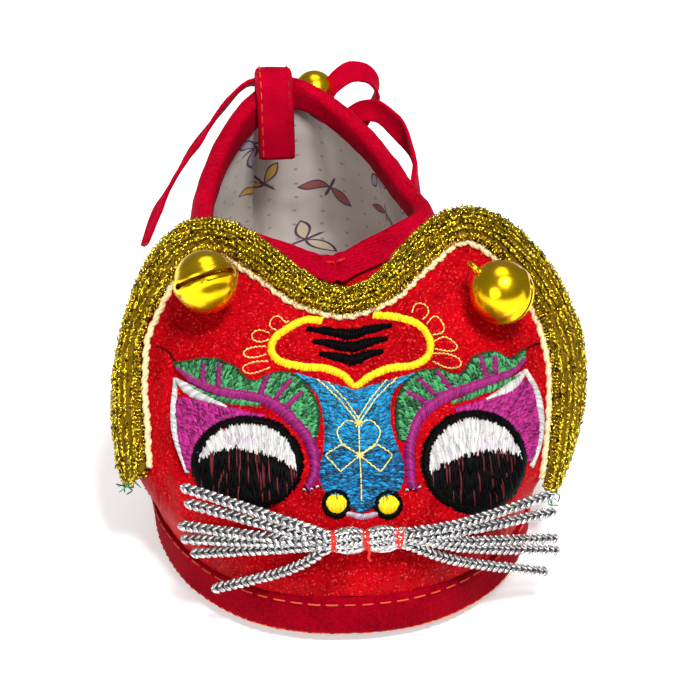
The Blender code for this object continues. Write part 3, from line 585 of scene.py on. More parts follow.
soleCloth = clothLook("soleCloth", {
    "colour": (0.18, 0.010, 0.012), "grain": 420.0, "patch": 60.0, "rough": 0.85, "relief": 0.7,
    "gloss": 0.10, "glossTint": (0.8, 0.4, 0.4), "sheen": 0.1})
liningCotton = liningLook("liningCotton", liningPrint)
blackThread = threadLook("blackThread", (0.0016, 0.0014, 0.0017), 0.04, 0.6)
whiteThread = threadLook("whiteThread", (0.49, 0.48, 0.465), 0.2, 0.35)
lilacThread = threadLook("lilacThread", (0.42, 0.36, 0.44), 0.2, 0.3)
violetThread = threadLook("violetThread", (0.29, 0.009, 0.14), 0.2, 0.7)
plumThread = threadLook("plumThread", (0.23, 0.008, 0.12), 0.2, 0.35)
greenThread = threadLook("greenThread", (0.04, 0.21, 0.075), 0.25, 0.95)
darkGreen = threadLook("darkGreen", (0.008, 0.045, 0.016))
blueThread = threadLook("blueThread", (0.003, 0.16, 0.32), 0.3, 0.92)
# painted shade: a darker blue for the nose's lower part
deepBlue = threadLook("deepBlue", (0.001, 0.075, 0.19), 0.3, 0.9)
yellowThread = threadLook("yellowThread", (0.93, 0.62, 0.010), 0.2, 0.3)
paleYellow = threadLook("paleYellow", (0.80, 0.62, 0.16), 0.2, 0.3)
creamThread = threadLook("creamThread", (0.80, 0.64, 0.36), 0.2, 0.25)
orangeThread = threadLook("orangeThread", (0.72, 0.085, 0.016), 0.2, 0.3)
redThread = threadLook("redThread", (0.46, 0.003, 0.010))
bindThread = threadLook("bindThread", (0.68, 0.025, 0.012), 0.2, 0.3)
darkRedThread = threadLook("darkRedThread", (0.085, 0.003, 0.005))
goldTinsel = tinselLook("goldTinsel", (0.04, 0.020, 0.0004), (1.0, 0.76, 0.045), 0.16, 1500.0, 0.68)
goldGround = clothLook("goldGround", {
    **filmGround, "colour": (0.15, 0.085, 0.004), "rough": 0.5, "relief": 0.6, "glossTint": (1.0, 0.8, 0.3)})
silverTinsel = tinselLook("silverTinsel", (0.27, 0.26, 0.26), (0.86, 0.85, 0.84), 0.22)
silverCore = clothLook("silverCore", {
    **filmGround, "colour": (0.035, 0.033, 0.037), "rough": 0.6, "relief": 0.4, "glossTint": (1.0, 1.0, 1.0)})
bellBrass = brassLook("bellBrass")
print("materials ready,", len(bpy.data.materials))


# camera, floor and light

cameraLook = {
    "azimuth": -5, "elevation": 33, "distance": 0.462, "aim": (-0.0015, -0.0316, 0.042), "lens": 134,
}
lamps = {  # where, what it faces, size, power
    "key": ((0.14, -0.34, 0.76), (0, -0.02, 0.03), 0.24, 8.8),
    "fill": ((-0.45, -0.70, 0.36), (0, -0.02, 0.03), 0.60, 2.6),
    "top": ((0.05, 0.30, 0.90), (0, 0.0, 0.03), 0.60, 1.6),
}
roomLook = {
    "air": (0.98, 0.99, 1.0, 1), "light": 0.22, "floor": 0.90, "glow": 0.45, "reach": 4.0, "drop": 0.0001,
}


def setStage():
    scene = bpy.context.scene
    a, e = math.radians(cameraLook["azimuth"]), math.radians(cameraLook["elevation"])
    back = Vector((math.sin(a) * math.cos(e), -math.cos(a) * math.cos(e), math.sin(e)))
    lens = bpy.data.cameras.new("camera")
    lens.lens, lens.sensor_width, lens.clip_start = cameraLook["lens"], 36, 0.01
    camera = bpy.data.objects.new("camera", lens)
    camera.location = Vector(cameraLook["aim"]) + back * cameraLook["distance"]
    camera.rotation_euler = (-back).to_track_quat("-Z", "Y").to_euler()
    scene.collection.objects.link(camera)
    scene.camera = camera
    for name, (where, aim, size, power) in lamps.items():
        lamp = bpy.data.lights.new(name, "AREA")
        lamp.shape = "DISK"
        lamp.size, lamp.energy = size, power
        holder = bpy.data.objects.new(name, lamp)
        holder.location = where
        holder.rotation_euler = (Vector(aim) - Vector(where)).to_track_quat("-Z", "Y").to_euler()
        scene.collection.objects.link(holder)
    world = bpy.data.worlds.new("studio")
    world.use_nodes = True
    air = world.node_tree.nodes["Background"].inputs
    air["Color"].default_value, air["Strength"].default_value = roomLook["air"], roomLook["light"]
    scene.world = world
    scene.view_settings.view_transform = "Standard"
    paper, _, put = shading("paleFloor")
    put(
        Base_Color=(*[roomLook["floor"]] * 3, 1), Roughness=0.9, Specular_IOR_Level=0.1,
        Emission_Color=(1, 1, 1, 1), Emission_Strength=roomLook["glow"]
    )
    reach, drop = roomLook["reach"], -roomLook["drop"]
    corners = [(-reach, -reach, drop), (reach, -reach, drop), (reach, reach, drop), (-reach, reach, drop)]
    floor = newPiece("floor", corners, [(0, 1, 2, 3)], material=paper)


setStage()


# ties and pull tab

tieLook = {
    "width": 5.0, "thick": 0.9, "points": 46, "curl": 0.35, "narrower": 0.4,
    "sway": 0.14, "swayRun": 9, "swayRate": 2.1, "ripple": ((0.14, 420), (0.05, 1300)),
}
ties = {  # run: across, along and height of each point; aims: the way the width looks at both ends
    "tie_loop_right": {
        "run": ((2.1, 115.9, 41.9), (2.0, 117.0, 45.2), (3.2, 118.4, 48.4), (6.4, 119.8, 50.4),
                (10.0, 120.0, 49.6), (11.9, 119.8, 46.4), (10.9, 119.6, 42.6), (7.8, 119.6, 38.8),
                (3.5, 118.2, 36.9)),
        "aims": ((0.0, 0.8, 0.6), (0.1, 0.8, 0.5))},
    "tie_loop_left": {
        "run": ((-4.6, 116.8, 39.4), (-10.0, 120.4, 37.4), (-14.8, 120.9, 33.0), (-15.6, 120.5, 28.0),
                (-11.6, 119.5, 26.6), (-7.2, 118.8, 30.6), (-3.3, 117.0, 35.5)),
        "aims": ((0.0, 0.45, 0.85), (0.0, 0.9, 0.3))},
    "tie_tail_left": {
        "run": ((-3.9, 116.9, 41.7), (-8.0, 119.3, 45.6), (-11.6, 119.0, 48.8), (-15.0, 117.8, 49.4),
                (-19.6, 115.6, 45.8), (-24.6, 112.0, 40.6), (-29.4, 106.8, 36.0), (-33.6, 101.0, 31.4),
                (-36.8, 95.0, 26.5)),
        "aims": ((0.25, -0.55, 0.75), (0.3, -0.72, 0.62))},
    "tie_tail_right": {
        "run": ((3.5, 115.4, 39.4), (6.0, 115.7, 41.6), (8.6, 115.8, 43.4), (12.2, 114.2, 44.0),
                (15.8, 109.6, 42.0), (18.2, 104.0, 39.0), (18.0, 97.0, 35.1)),
        "aims": ((0.0, 0.7, 0.6), (-0.2, 0.1, 1.0))},
}


def tapeFrame(path, aims):  # sideways and outward directions of a flat tape
    share = np.linspace(0, 1, len(path))[:, None]
    aim = (1 - share) * np.array(aims[0]) + share * np.array(aims[1])
    ahead = headings(path)
    aside = squared(aim, ahead)
    return aside, np.cross(ahead, aside)


def tapeOutline(width, thick, curl):  # a folded tape: two rounded edges, a faint hollow between
    turn = np.linspace(-math.pi / 2, math.pi / 2, 5)
    right = [(width / 2 - thick / 2 + thick / 2 * math.cos(t), thick / 2 * math.sin(t)) for t in turn]
    across = np.linspace(0.7, -0.7, 4) * width / 2
    top = [(u, thick / 2 - 0.16 * thick * math.cos(u / width * math.pi)) for u in across]
    under = [(-u, -v) for u, v in top]
    left = [(-u, -v) for u, v in right]
    ring = right + top + left + under
    return [(u, v + curl * (u / (width / 2)) ** 2) for u, v in ring]


def makeTies():
    outline = tapeOutline(tieLook["width"] - tieLook["narrower"], tieLook["thick"], tieLook["curl"])
    for nodeName, tie in ties.items():
        path = smoothLine([spot(*p) for p in tie["run"]], tieLook["points"])
        aside, over = tapeFrame(path, tie["aims"])
        step = np.linspace(0, tieLook["swayRun"], len(path))
        sway = tieLook["sway"] * np.sin(tieLook["swayRate"] * step + len(nodeName))
        aside = unit(aside + over * sway[:, None])
        over = np.cross(headings(path), aside)
        piece = sweep(pieceName(nodeName), path, aside, over, outline, tieRed)
        moveVerts(piece, lambda co: ripple(co, tieLook["ripple"]))
        dress(piece, "tape", nodeName)
        float(runOf(path)[-1])


knotLook = {
    "at": (-0.8, 115.6, 39.0), "size": (7.4, 5.8, 6.4), "core": 0.94, "folds": ((0.06, 5, 3), (0.04, 9, -5)),
    "wrap": (4.4, 0.8, -0.25), "wrapSize": 0.98, "wrapSway": 0.5, "wrapLean": (0, 0.12, 0.1),
    "ripple": ((0.10, 700),),
}


def makeKnot():  # a crumpled core with the tape wound once over it
    middle, half = spot(*knotLook["at"]), np.array(knotLook["size"]) / 2
    rows, cols, points = 21, 40, []
    for s in np.linspace(-1, 1, rows) * 0.97:
        r = math.sqrt(1 - abs(s) ** 2.6)
        for a in np.linspace(0, 2 * math.pi, cols, endpoint=False):
            fold = 1 + sum(depth * math.sin(n * a + m * s) for depth, n, m in knotLook["folds"])
            place = half * (s, r * fold * math.cos(a), r * fold * math.sin(a))
            points.append(middle + place * mm * knotLook["core"])
    knot = newPiece("tieKnot", points, ringFaces(rows, cols) + endFaces(rows, cols), material=tapeRed)
    dress(tidyMesh(knot), "tape", "tie_knot")

    around = np.linspace(0, 2 * math.pi, 41)
    deep, high = half[1:] * knotLook["wrapSize"]
    path = middle + mm * np.column_stack([
        knotLook["wrapSway"] * np.sin(around), deep * np.cos(around), high * np.sin(around)
    ])
    ahead = headings(path)
    lean = np.tile((1.0, 0.0, 0.0), (len(path), 1)) + np.outer(np.sin(around), knotLook["wrapLean"])
    aside = squared(lean, ahead)
    wrap = sweep("tieKnotWrap", path, aside, np.cross(ahead, aside), tapeOutline(*knotLook["wrap"]), tieRed)
    moveVerts(wrap, lambda co: ripple(co, knotLook["ripple"]))
    dress(wrap, "tape")


tabLook = {
    "across": -9.8, "width": 7.3, "thick": 1.8, "curl": -0.45, "ripple": ((0.16, 300), (0.04, 1200)),
    "run": (  # along and height, from outside the heel over the collar to the inside
        (114.9, 37.0), (115.3, 43.0), (115.2, 49.6), (113.5, 54.4), (110.0, 56.4),
        (106.4, 55.0), (103.4, 50.6), (102.0, 45.4), (101.5, 41.2)),
    "seamInset": 0.9, "seam": {"pitch": 2.3, "stitch": 1.5, "radius": 0.13, "proud": 0.12},
}


def makeTab():
    path = smoothLine([spot(tabLook["across"], *p) for p in tabLook["run"]], 60)
    aside = np.tile((1.0, 0.0, 0.0), (len(path), 1))
    over = np.cross(headings(path), aside)
    outline = tapeOutline(tabLook["width"], tabLook["thick"], tabLook["curl"])
    tab = sweep("heelTab", path, aside, over, outline, tieRed)
    moveVerts(tab, lambda co: ripple(co, tabLook["ripple"]))
    dress(tab, "tape", "heel_tab")
    skin, reach = treeOf(tab), tabLook["width"] / 2 - tabLook["seamInset"]
    for side, label, thread in ((-1, "Left", orangeThread), (1, "Right", redThread)):
        line, facing = [], []
        for p, o in zip(path[2:-2], over[2:-2]):
            start = p + aside[0] * side * reach * mm + o * 0.004
            hit, normal, _, _ = skin.ray_cast(Vector(start), Vector(-o))
            line.append(hit)
            facing.append(normal)
        seamPiece("heelTabSeam" + label, line, facing, tabLook["seam"], thread)


makeTies()
makeKnot()
makeTab()
print("ties and tab made")


# upper, lining, insole and outsole

lastLook = {"bend": (45.0, 40.0), "swing": (2.4, 3.4), "middle": 0.020, "ends": 0.045}


def swing(y):  # how far the last's rear lies towards the other foot
    (start, span), (least, more) = lastLook["bend"], lastLook["swing"]
    share = clamp((y / mm - toeY - start) / span)
    return -(least + more * (1 - math.cos(math.pi * share)) / 2) * mm


def outside(face):  # a face of the upper's wall that looks away from the last
    centre = face.calc_center_median()
    y = min(max(centre.y, -lastLook["ends"]), lastLook["ends"])
    return face.normal.dot(centre - Vector((swing(y), y, lastLook["middle"]))) > 0


creases = (  # on the satin of the quarters and heel: two ends, depth and half width
    ((-31, 58, 38), (-29, 70, 24), 0.55, 1.6), ((-30, 66, 41), (-27, 80, 30), 0.45, 1.4),
    ((-26, 84, 42), (-25, 92, 26), 0.50, 1.5), ((29, 60, 39), (27, 74, 26), 0.50, 1.6),
    ((25, 70, 42), (20, 86, 32), 0.45, 1.4), ((18, 92, 40), (15, 102, 24), 0.50, 1.5),
    ((-21, 104, 38), (-18, 110, 20), 0.45, 1.4), ((8, 112, 36), (7, 114, 18), 0.45, 1.5),
    ((-14, 113, 30), (-10, 115, 16), 0.40, 1.4), ((-32, 74, 16), (-27, 92, 18), 0.40, 1.6),
    ((26, 74, 17), (20, 94, 15), 0.40, 1.6),
)
liningFolds = (  # inside the heel, as above
    ((-14.2, 107.0, 46.0), (-13.2, 112.6, 16.0), 1.2, 0.8),
    ((-2.2, 111.0, 46.0), (0.4, 113.4, 17.0), 0.6, 2.2),
)
upperLook = {
    "satin": ((0.10, 160),), "lining": ((0.35, 90), (0.12, 260)),
    "printMiddle": (0.02, 0.018), "printGirth": 23.0, "sockShift": 60, "soleEdge": 40,
}
heelPeak = {"across": -11.5, "rise": 3.2, "reach": 13.0, "along": (78.0, 98.0), "height": (34.0, 48.0)}


def creaseDepth(co, lines):  # each crease has a low ridge beside it
    total = 0.0
    for start, end, depth, half in lines:
        a, b = Vector(spot(*start)), Vector(spot(*end))
        t = clamp((co - a).dot(b - a) / (b - a).length_squared)
        off = (co - a.lerp(b, t)).length / mm
        if off < 4 * half:
            total += depth * (hump(off, half) - 0.45 * hump(off - 2 * half, half))
    return total


def raiseHeel(obj):  # the collar peaks under the pull tab
    (nearEnd, farEnd), (low, high) = heelPeak["along"], heelPeak["height"]
    for v in obj.data.vertices:
        x, y, z = v.co.x / mm, v.co.y / mm - toeY, v.co.z / mm
        share = clamp((y - nearEnd) / (farEnd - nearEnd)) * clamp((z - low) / (high - low))
        v.co.z += heelPeak["rise"] * share * hump(x - heelPeak["across"], heelPeak["reach"]) * mm


def makeUpper():
    satin = softCopy("upper", "upperSatin", 3, satinRed, outside)
    moveVerts(satin, lambda co: ripple(co, upperLook["satin"]) - creaseDepth(co, creases))
    raiseHeel(satin)
    dress(satin, "satin", "upper")
    cotton = softCopy("upper", "lining", 3, liningCotton, lambda face: not outside(face))
    moveVerts(cotton, lambda co: ripple(co, upperLook["lining"]) - creaseDepth(co, liningFolds))
    raiseHeel(cotton)
    bendY, middleY = upperLook["printMiddle"]
    setUv(cotton, lambda co: (
        math.atan2(co.x - swing(bendY), co.y - middleY) * upperLook["printGirth"], co.z / mm))
    dress(cotton, "lining")
    sock = softCopy("insole", "insoleSock", 2, liningCotton)
    setUv(sock, lambda co: (co.x / mm + upperLook["sockShift"], co.y / mm))
    dress(sock, "lining", "insole")
    sole = softCopy("outsole", "outsoleCloth", 0, soleCloth)
    sole.data.set_sharp_from_angle(angle=math.radians(upperLook["soleEdge"]))
    dress(sole, "sole_cloth", "outsole")
    return satin


upperSatin = makeUpper()


# tapes round the sole and the collar

bandLook = {
    "ripple": ((0.12, 140), (0.05, 600)),
    "seam": {"height": 8.7, "pitch": 3.1, "stitch": 2.0, "radius": 0.16, "proud": 0.14},
    "whip": {"low": 1.35, "high": 2.2, "pitch": 1.9, "radius": 0.17, "jitter": 0.15},
}
collarLook = {
    "ripple": ((0.22, 210), (0.08, 700)), "leg": 0.7, "rim": 1.5, "middle": (0.02, 0.018), "sectors": 60,
    "throatFold": (((-2.2, 53.4, 46.7), (-2.1, 46.8, 44.0), 0.9, 0.7),),  # where the tape's two ends meet
    "seam": {"below": 4.5, "pitch": 2.2, "stitch": 1.9, "radius": 0.15, "proud": 0.08},
    "tack": {"ends": ((-4.0, 51.6, 46.4), (-0.6, 52.3, 46.6)), "stitches": 7, "radius": 0.2},
}


def ringAround(tree, height, centre, count):  # where rays from all round meet a piece at a height
    points, facing = [], []
    for k in range(count):
        a = 2 * math.pi * k / count
        way = Vector((math.cos(a), math.sin(a), 0))
        start = Vector((centre[0], centre[1], height(a) * mm)) + way * 0.2
        hit, normal, _, _ = tree.ray_cast(start, -way)
        if hit:
            points.append(np.array(hit))
            facing.append(np.array(normal))
    return np.array(points), np.array(facing)


def closedRun(points, facing, count):
    points, facing = np.vstack([points, points[:1]]), np.vstack([facing, facing[:1]])
    run = runOf(points)
    at = np.linspace(0, run[-1], count)
    return readAt(at, run, points), unit(readAt(at, run, facing))


def makeBand():
    seam, whip = bandLook["seam"], bandLook["whip"]
    band = softCopy("sole_band", "soleBand", 3, bandRed)
    moveVerts(band, lambda co: ripple(co, bandLook["ripple"]))
    dress(band, "tape", "sole_band")
    skin = treeOf(band)
    line, facing = closedRun(*ringAround(skin, lambda a: seam["height"], (0, 0), 720), 900)
    seamPiece("soleBandSeam", line + facing * 0.02 * mm, facing, seam, orangeThread)
    high, away = closedRun(*ringAround(skin, lambda a: whip["high"], (0, 0), 720), 700)
    run = runOf(high) / mm
    drop = Vector((0, 0, (whip["high"] - whip["low"]) * mm))
    stitches = []
    for k in range(int(run[-1] / whip["pitch"])):  # slanting stitches that whip its foot to the sole
        at = (k + dice.uniform(-whip["jitter"], whip["jitter"])) * whip["pitch"]
        i = int(np.searchsorted(run, at)) % len(high)
        j = (i + 3) % len(high)
        a, b, n = np.array(skin.find_nearest(Vector(high[i]) - drop)[0]), high[j], away[j] * mm
        stitches.append([a - n * 0.2, a + n * 0.04, (a + b) / 2 + n * 0.1, b + n * 0.04, b - n * 0.2])
    threadPiece("soleBandWhip", stitches, whip["radius"], orangeThread, "tape")
    return band


def makeCollar():
    seam, tack, sectors = collarLook["seam"], collarLook["tack"], collarLook["sectors"]
    collar = softCopy("collar_tape", "collarTape", 2, tapeRed)
    moveVerts(collar, lambda co: ripple(co, collarLook["ripple"]) - creaseDepth(co, collarLook["throatFold"]))
    raiseHeel(collar)
    dress(collar, "tape", "collar_tape")
    bendY, middleY = collarLook["middle"]
    centre = (swing(bendY), middleY)

    def angleOf(co):
        return math.atan2(co.y - centre[1], co.x - centre[0])

    def sectorOf(a):
        return math.degrees(a) % 360 / (360 / sectors)

    heights = {}
    for v in collar.data.vertices:
        k = int(sectorOf(angleOf(v.co)))
        heights[k] = max(heights.get(k, 0), v.co.z / mm)
    tops = softened([heights.get(k, heights.get(k - 1, 45)) for k in range(sectors)], 3, closed=True)
    steps, tops = np.arange(-1, sectors + 1), np.array([tops[-1], *tops, tops[0]])

    def rim(a):  # the collar's height at an angle
        return float(np.interp(sectorOf(a) - 0.5, steps, tops))

    ring = ringAround(treeOf(collar), lambda a: rim(a) - seam["below"], centre, 360)
    line, facing = closedRun(*ring, 500)
    for v in collar.data.vertices:  # a narrow tape: both legs are drawn up towards the rim
        under = rim(angleOf(v.co)) - collarLook["rim"] - v.co.z / mm
        if under > 0:
            v.co.z += under * (1 - collarLook["leg"]) * mm
    # dark red running stitches on the satin just below the tape's drawn-up edge: a topstitch, and painted
    # shade along that edge
    seamPiece("collarSeam", softened(line, 2), facing, seam, darkRedThread)
    stitches, skin = [], treeOf(collar)
    first, last = (spot(*p) for p in tack["ends"])
    for s in np.linspace(0, 1, tack["stitches"]):
        mid = first * (1 - s) + last * s
        ends = [mid + np.array((dice.normal(0, 0.2), -0.45 * w, 0.7 * w)) * mm for w in (-1, 0, 1)]
        proud = np.array((0, -0.15, 0.2)) * mm
        stitches.append([np.array(skin.find_nearest(Vector(p))[0]) + proud for p in ends])
    threadPiece("throatTack", stitches, tack["radius"], bindThread, "tape")


soleBand = makeBand()
makeCollar()
print("upper, lining, soles and tapes made")


# face panel and the chart of the face

panelLook = {
    "ripple": ((0.10, 150), (0.07, 380)),
    "foot": {
        "top": 18.0, "span": 8.0, "middle": -0.028, "band": 9.0, "low": 10.8, "behind": 0.5, "drop": 2.2},
}
chartRise = math.radians(33)  # the chart is the face seen from this far above the toe
chartUp = np.array((0, math.sin(chartRise), math.cos(chartRise)))
chartBack = np.array((0, -math.cos(chartRise), math.sin(chartRise)))


def tuckFoot(panel):  # its foot is sewn in behind the sole band's edge
    look, bandSkin, panelSkin = panelLook["foot"], treeOf(soleBand), treeOf(panel)
    for v in panel.data.vertices:
        foot = clamp((look["top"] - v.co.z / mm) / look["span"])
        if foot:
            middle = Vector((swing(v.co.y), look["middle"], 0))
            way = Vector((v.co.x - middle.x, v.co.y - middle.y, 0)).normalized()
            lowZ, highZ = look["band"] * mm, max(v.co.z, look["low"] * mm)
            band = bandSkin.ray_cast(middle + way * 0.2 + Vector((0, 0, lowZ)), -way)[0]
            face = panelSkin.ray_cast(middle + way * 0.2 + Vector((0, 0, highZ)), -way)[0]
            if band and face:
                v.co += way * ((band - face).dot(way) - look["behind"] * mm) * foot ** 2
                v.co.z -= look["drop"] * mm * foot ** 4


def makePanel():
    panel = softCopy("face_panel", "facePanel", 3, satinRed)
    moveVerts(panel, lambda co: ripple(co, panelLook["ripple"]))
    tuckFoot(panel)
    dress(panel, "satin", "face_panel")
    return panel


facePanel = makePanel()
sewOn = treeOf(facePanel)


def onFace(points, tree=None):  # across, and up from the toe's foot, in mm on the chart
    hits, normals = [], []
    for across, up in points:
        start = np.array((across, toeY, 0)) * mm + chartUp * up * mm + chartBack * 0.15
        hit, normal, _, _ = (tree or sewOn).ray_cast(Vector(start), Vector(-chartBack))
        hits.append(np.array(hit) if hit else np.full(3, np.nan))
        normals.append(np.array(normal) if hit else np.full(3, np.nan))
    return np.array(hits), np.array(normals)


padProfile = ((0.3, 0.98), (0.6, 0.9), (0.85, 0.68), (1.0, 0.25), (1.03, -0.3))  # way out, height


def padPiece(name, outline, height, slot, nodeName):  # a domed satin pad inside a chart outline
    outline = np.asarray(outline, float)
    middle, rows, cols, points = outline.mean(axis=0), len(padProfile), len(outline), []
    for share, lift in padProfile:
        hits, normals = onFace(middle + share * (outline - middle))
        points += list(hits + normals * (height * lift * mm))
    top, up = onFace([middle])
    points.append(top[0] + up[0] * height * mm)
    faces = ringFaces(rows, cols) + [(len(points) - 1, j, (j + 1) % cols) for j in range(cols)]
    faces.append(endFaces(rows, cols)[1])
    return dress(tidyMesh(newPiece(name, points, faces, material=satinRed)), slot, nodeName)


# embroidery: chart lines become rows of threads

def satinStitch(line, half, spacing, slant=0.35, ragged=0.12):  # threads side by side across a line
    line = np.asarray(line, float)
    mid = evenly(line, max(3, int(runOf(line)[-1] / spacing)))
    ahead = headings(mid)
    aside = ahead[:, ::-1] * (-1, 1)
    half = np.interp(np.linspace(0, 1, len(mid)), np.linspace(0, 1, len(half)), half)[:, None]
    ends = half * (1 + dice.uniform(-ragged, ragged, (len(mid), 2)))
    return [(m - a * e[0] - f * h * slant, m + a * e[1] + f * h * slant)
            for m, a, f, h, e in zip(mid, aside, ahead, half, ends)]


def fillStitch(low, high, spacing, raggedLow=0.0, raggedHigh=0.0, stitch=None):  # from border to border
    low, high = np.asarray(low, float), np.asarray(high, float)
    count = int(max(runOf(low)[-1], runOf(high)[-1]) / spacing)
    low, high = smoothLine(low, count), smoothLine(high, count)
    pairs = []
    for a, b in zip(low, high):
        length = np.linalg.norm(b - a) + 1e-9
        way = (b - a) / length
        a, b = a + way * dice.uniform(-1, 1) * raggedLow, b + way * dice.uniform(-1, 1) * raggedHigh
        rows = max(1, round(length / stitch)) if stitch else 1
        cuts = np.linspace(0, 1, rows + 1)
        cuts[1:-1] += dice.uniform(-0.4, 0.4, rows - 1) / rows
        pairs += [(a + (b - a) * s, a + (b - a) * t) for s, t in zip(cuts, cuts[1:])]
    return pairs


def dashes(line, step, gap):  # running stitches along a line
    line = np.asarray(line, float)
    run = evenly(line, max(4, round(runOf(line)[-1] / step)))
    return [(a + (b - a) * gap / 2, b - (b - a) * gap / 2) for a, b in zip(run, run[1:])]


def some(pairs, share):  # a seeded share of the threads, and the rest
    picked = dice.uniform(size=len(pairs)) < share
    return [p for p, k in zip(pairs, picked) if k], [p for p, k in zip(pairs, picked) if not k]


def sew(pairs, arch, lift=0.0, tree=None):  # chart pairs become threads, bowed and lifted off the face, mm
    lines = []
    for a, b in pairs:
        length = np.linalg.norm(np.subtract(b, a))
        t = np.linspace(0, 1, 4 + int(length / 1.6))
        hits, normals = onFace([np.add(a, np.subtract(b, a) * s) for s in t], tree)
        if np.isfinite(hits).all():
            rise = (arch * np.sin(math.pi * t) ** 0.6 + lift - 0.12 * (np.abs(t - 0.5) > 0.49)) * mm
            lines.append(hits + normals * rise[:, None])
    return lines


threadSizes = {"fine": 0.13, "thread": 0.17, "thick": 0.21, "spacing": 0.33, "eyePad": 1.0, "nosePad": 0.75}
eyes = {  # lines on the chart; border: level, lean and bow of the line between white and black
    "Left": {
        "at": (-20.8, 32.0), "half": (9.7, 8.1), "border": (0.31, -0.16, -0.45), "wedgeTurn": (186, 74),
        "wedge": ((-31.6, 31.2), (-32.4, 36.5), (-32.4, 43.4), (-29.2, 43.2), (-23.4, 41.8),
                  (-17.3, 40.0)),
        "liner": ((-32.5, 46.8), (-33.1, 40.9), (-32.8, 36.5), (-31.2, 30.7)),
        "lid": ((-32.5, 47.1), (-28.9, 44.3), (-23.8, 41.7)),
        "brow": ((-31.7, 48.8), (-28.8, 46.4), (-24.2, 44.3), (-18.8, 43.3), (-15.7, 42.1),
                 (-12.8, 39.5), (-10.3, 36.4), (-9.1, 32.9), (-9.3, 29.5), (-10.6, 27.1)),
        "under": ((-30.2, 45.7), (-27.0, 44.0), (-23.5, 42.9), (-18.0, 41.9)),
        "ruffle": ((-32.4, 49.9), (-30.6, 49.9), (-27.8, 50.3), (-24.7, 50.0), (-22.0, 48.5),
                   (-20.5, 46.8), (-18.6, 45.8), (-16.2, 46.8), (-13.8, 47.2), (-11.5, 46.6),
                   (-9.3, 44.3), (-8.0, 41.3), (-7.9, 38.6), (-8.6, 35.9)),
        "ticks": (((-27.5, 46.2), (-27.3, 49.4)), ((-24.9, 45.3), (-24.6, 49.3)),
                  ((-17.7, 43.8), (-16.1, 46.7)), ((-15.1, 42.8), (-12.2, 45.8)),
                  ((-13.4, 41.1), (-10.4, 43.5))),
        "corner": ((-35.7, 53.3), (-33.5, 52.3), (-32.2, 50.0)),
        "foot": ((-11.8, 27.1), (-10.6, 26.8), (-8.3, 27.5))},
    "Right": {
        "at": (19.6, 30.1), "half": (10.0, 9.0), "border": (0.20, 0.13, -0.33), "wedgeTurn": (-4, 106),
        "wedge": ((31.0, 29.6), (32.5, 34.0), (32.4, 38.8), (30.9, 43.6), (25.4, 41.6), (16.6, 39.7)),
        "liner": ((30.7, 45.5), (32.5, 41.9), (33.2, 37.4), (32.5, 32.6), (30.5, 28.3)),
        "lid": ((30.7, 45.5), (27.5, 42.8), (22.5, 40.8)),
        "brow": ((30.4, 47.5), (27.7, 45.4), (23.3, 44.1), (19.1, 43.0), (15.4, 42.0), (12.1, 40.2),
                 (9.7, 38.0), (8.3, 35.1), (7.6, 31.7), (7.5, 28.0), (7.8, 26.1)),
        "under": ((16.2, 40.6), (21.8, 42.3), (29.1, 44.6)),
        "ruffle": ((30.8, 49.3), (28.5, 47.9), (27.0, 47.9), (25.7, 48.9), (23.9, 49.1), (21.5, 48.6),
                   (20.0, 47.2), (18.7, 45.6), (17.6, 45.2), (15.8, 45.8), (14.1, 46.4), (11.5, 46.3),
                   (9.2, 45.2), (7.2, 42.8), (6.2, 39.9), (6.0, 36.9), (6.2, 34.7)),
        "ticks": (((22.9, 44.5), (21.9, 48.4)), ((24.6, 45.2), (24.7, 48.1)),
                  ((16.0, 42.9), (13.9, 46.0)), ((13.2, 42.0), (10.6, 44.8)), ((11.7, 40.5), (8.4, 42.5))),
        "corner": ((30.8, 49.3), (32.6, 50.1), (34.4, 50.5)),
        "foot": ((6.0, 26.0), (7.7, 26.0), (9.5, 26.5))},
}


eyeWidths = {  # half widths of the satin stitches along their lines
    "rim": (0.70, 0.75, 0.62, 0.75, 0.70), "rimOver": (0.6, 0.55, 0.65, 0.6),
    "brow": (0.3, 0.8, 0.9, 0.95, 0.9, 0.85, 0.65), "tick": (0.5, 0.42, 0.25), "edge": (0.22, 0.28, 0.25),
    "under": (0.15, 0.5, 0.5, 0.15), "liner": (0.2, 0.5, 0.55, 0.5, 0.2), "lid": (0.2, 0.8, 0.9, 0.5, 0.12),
}


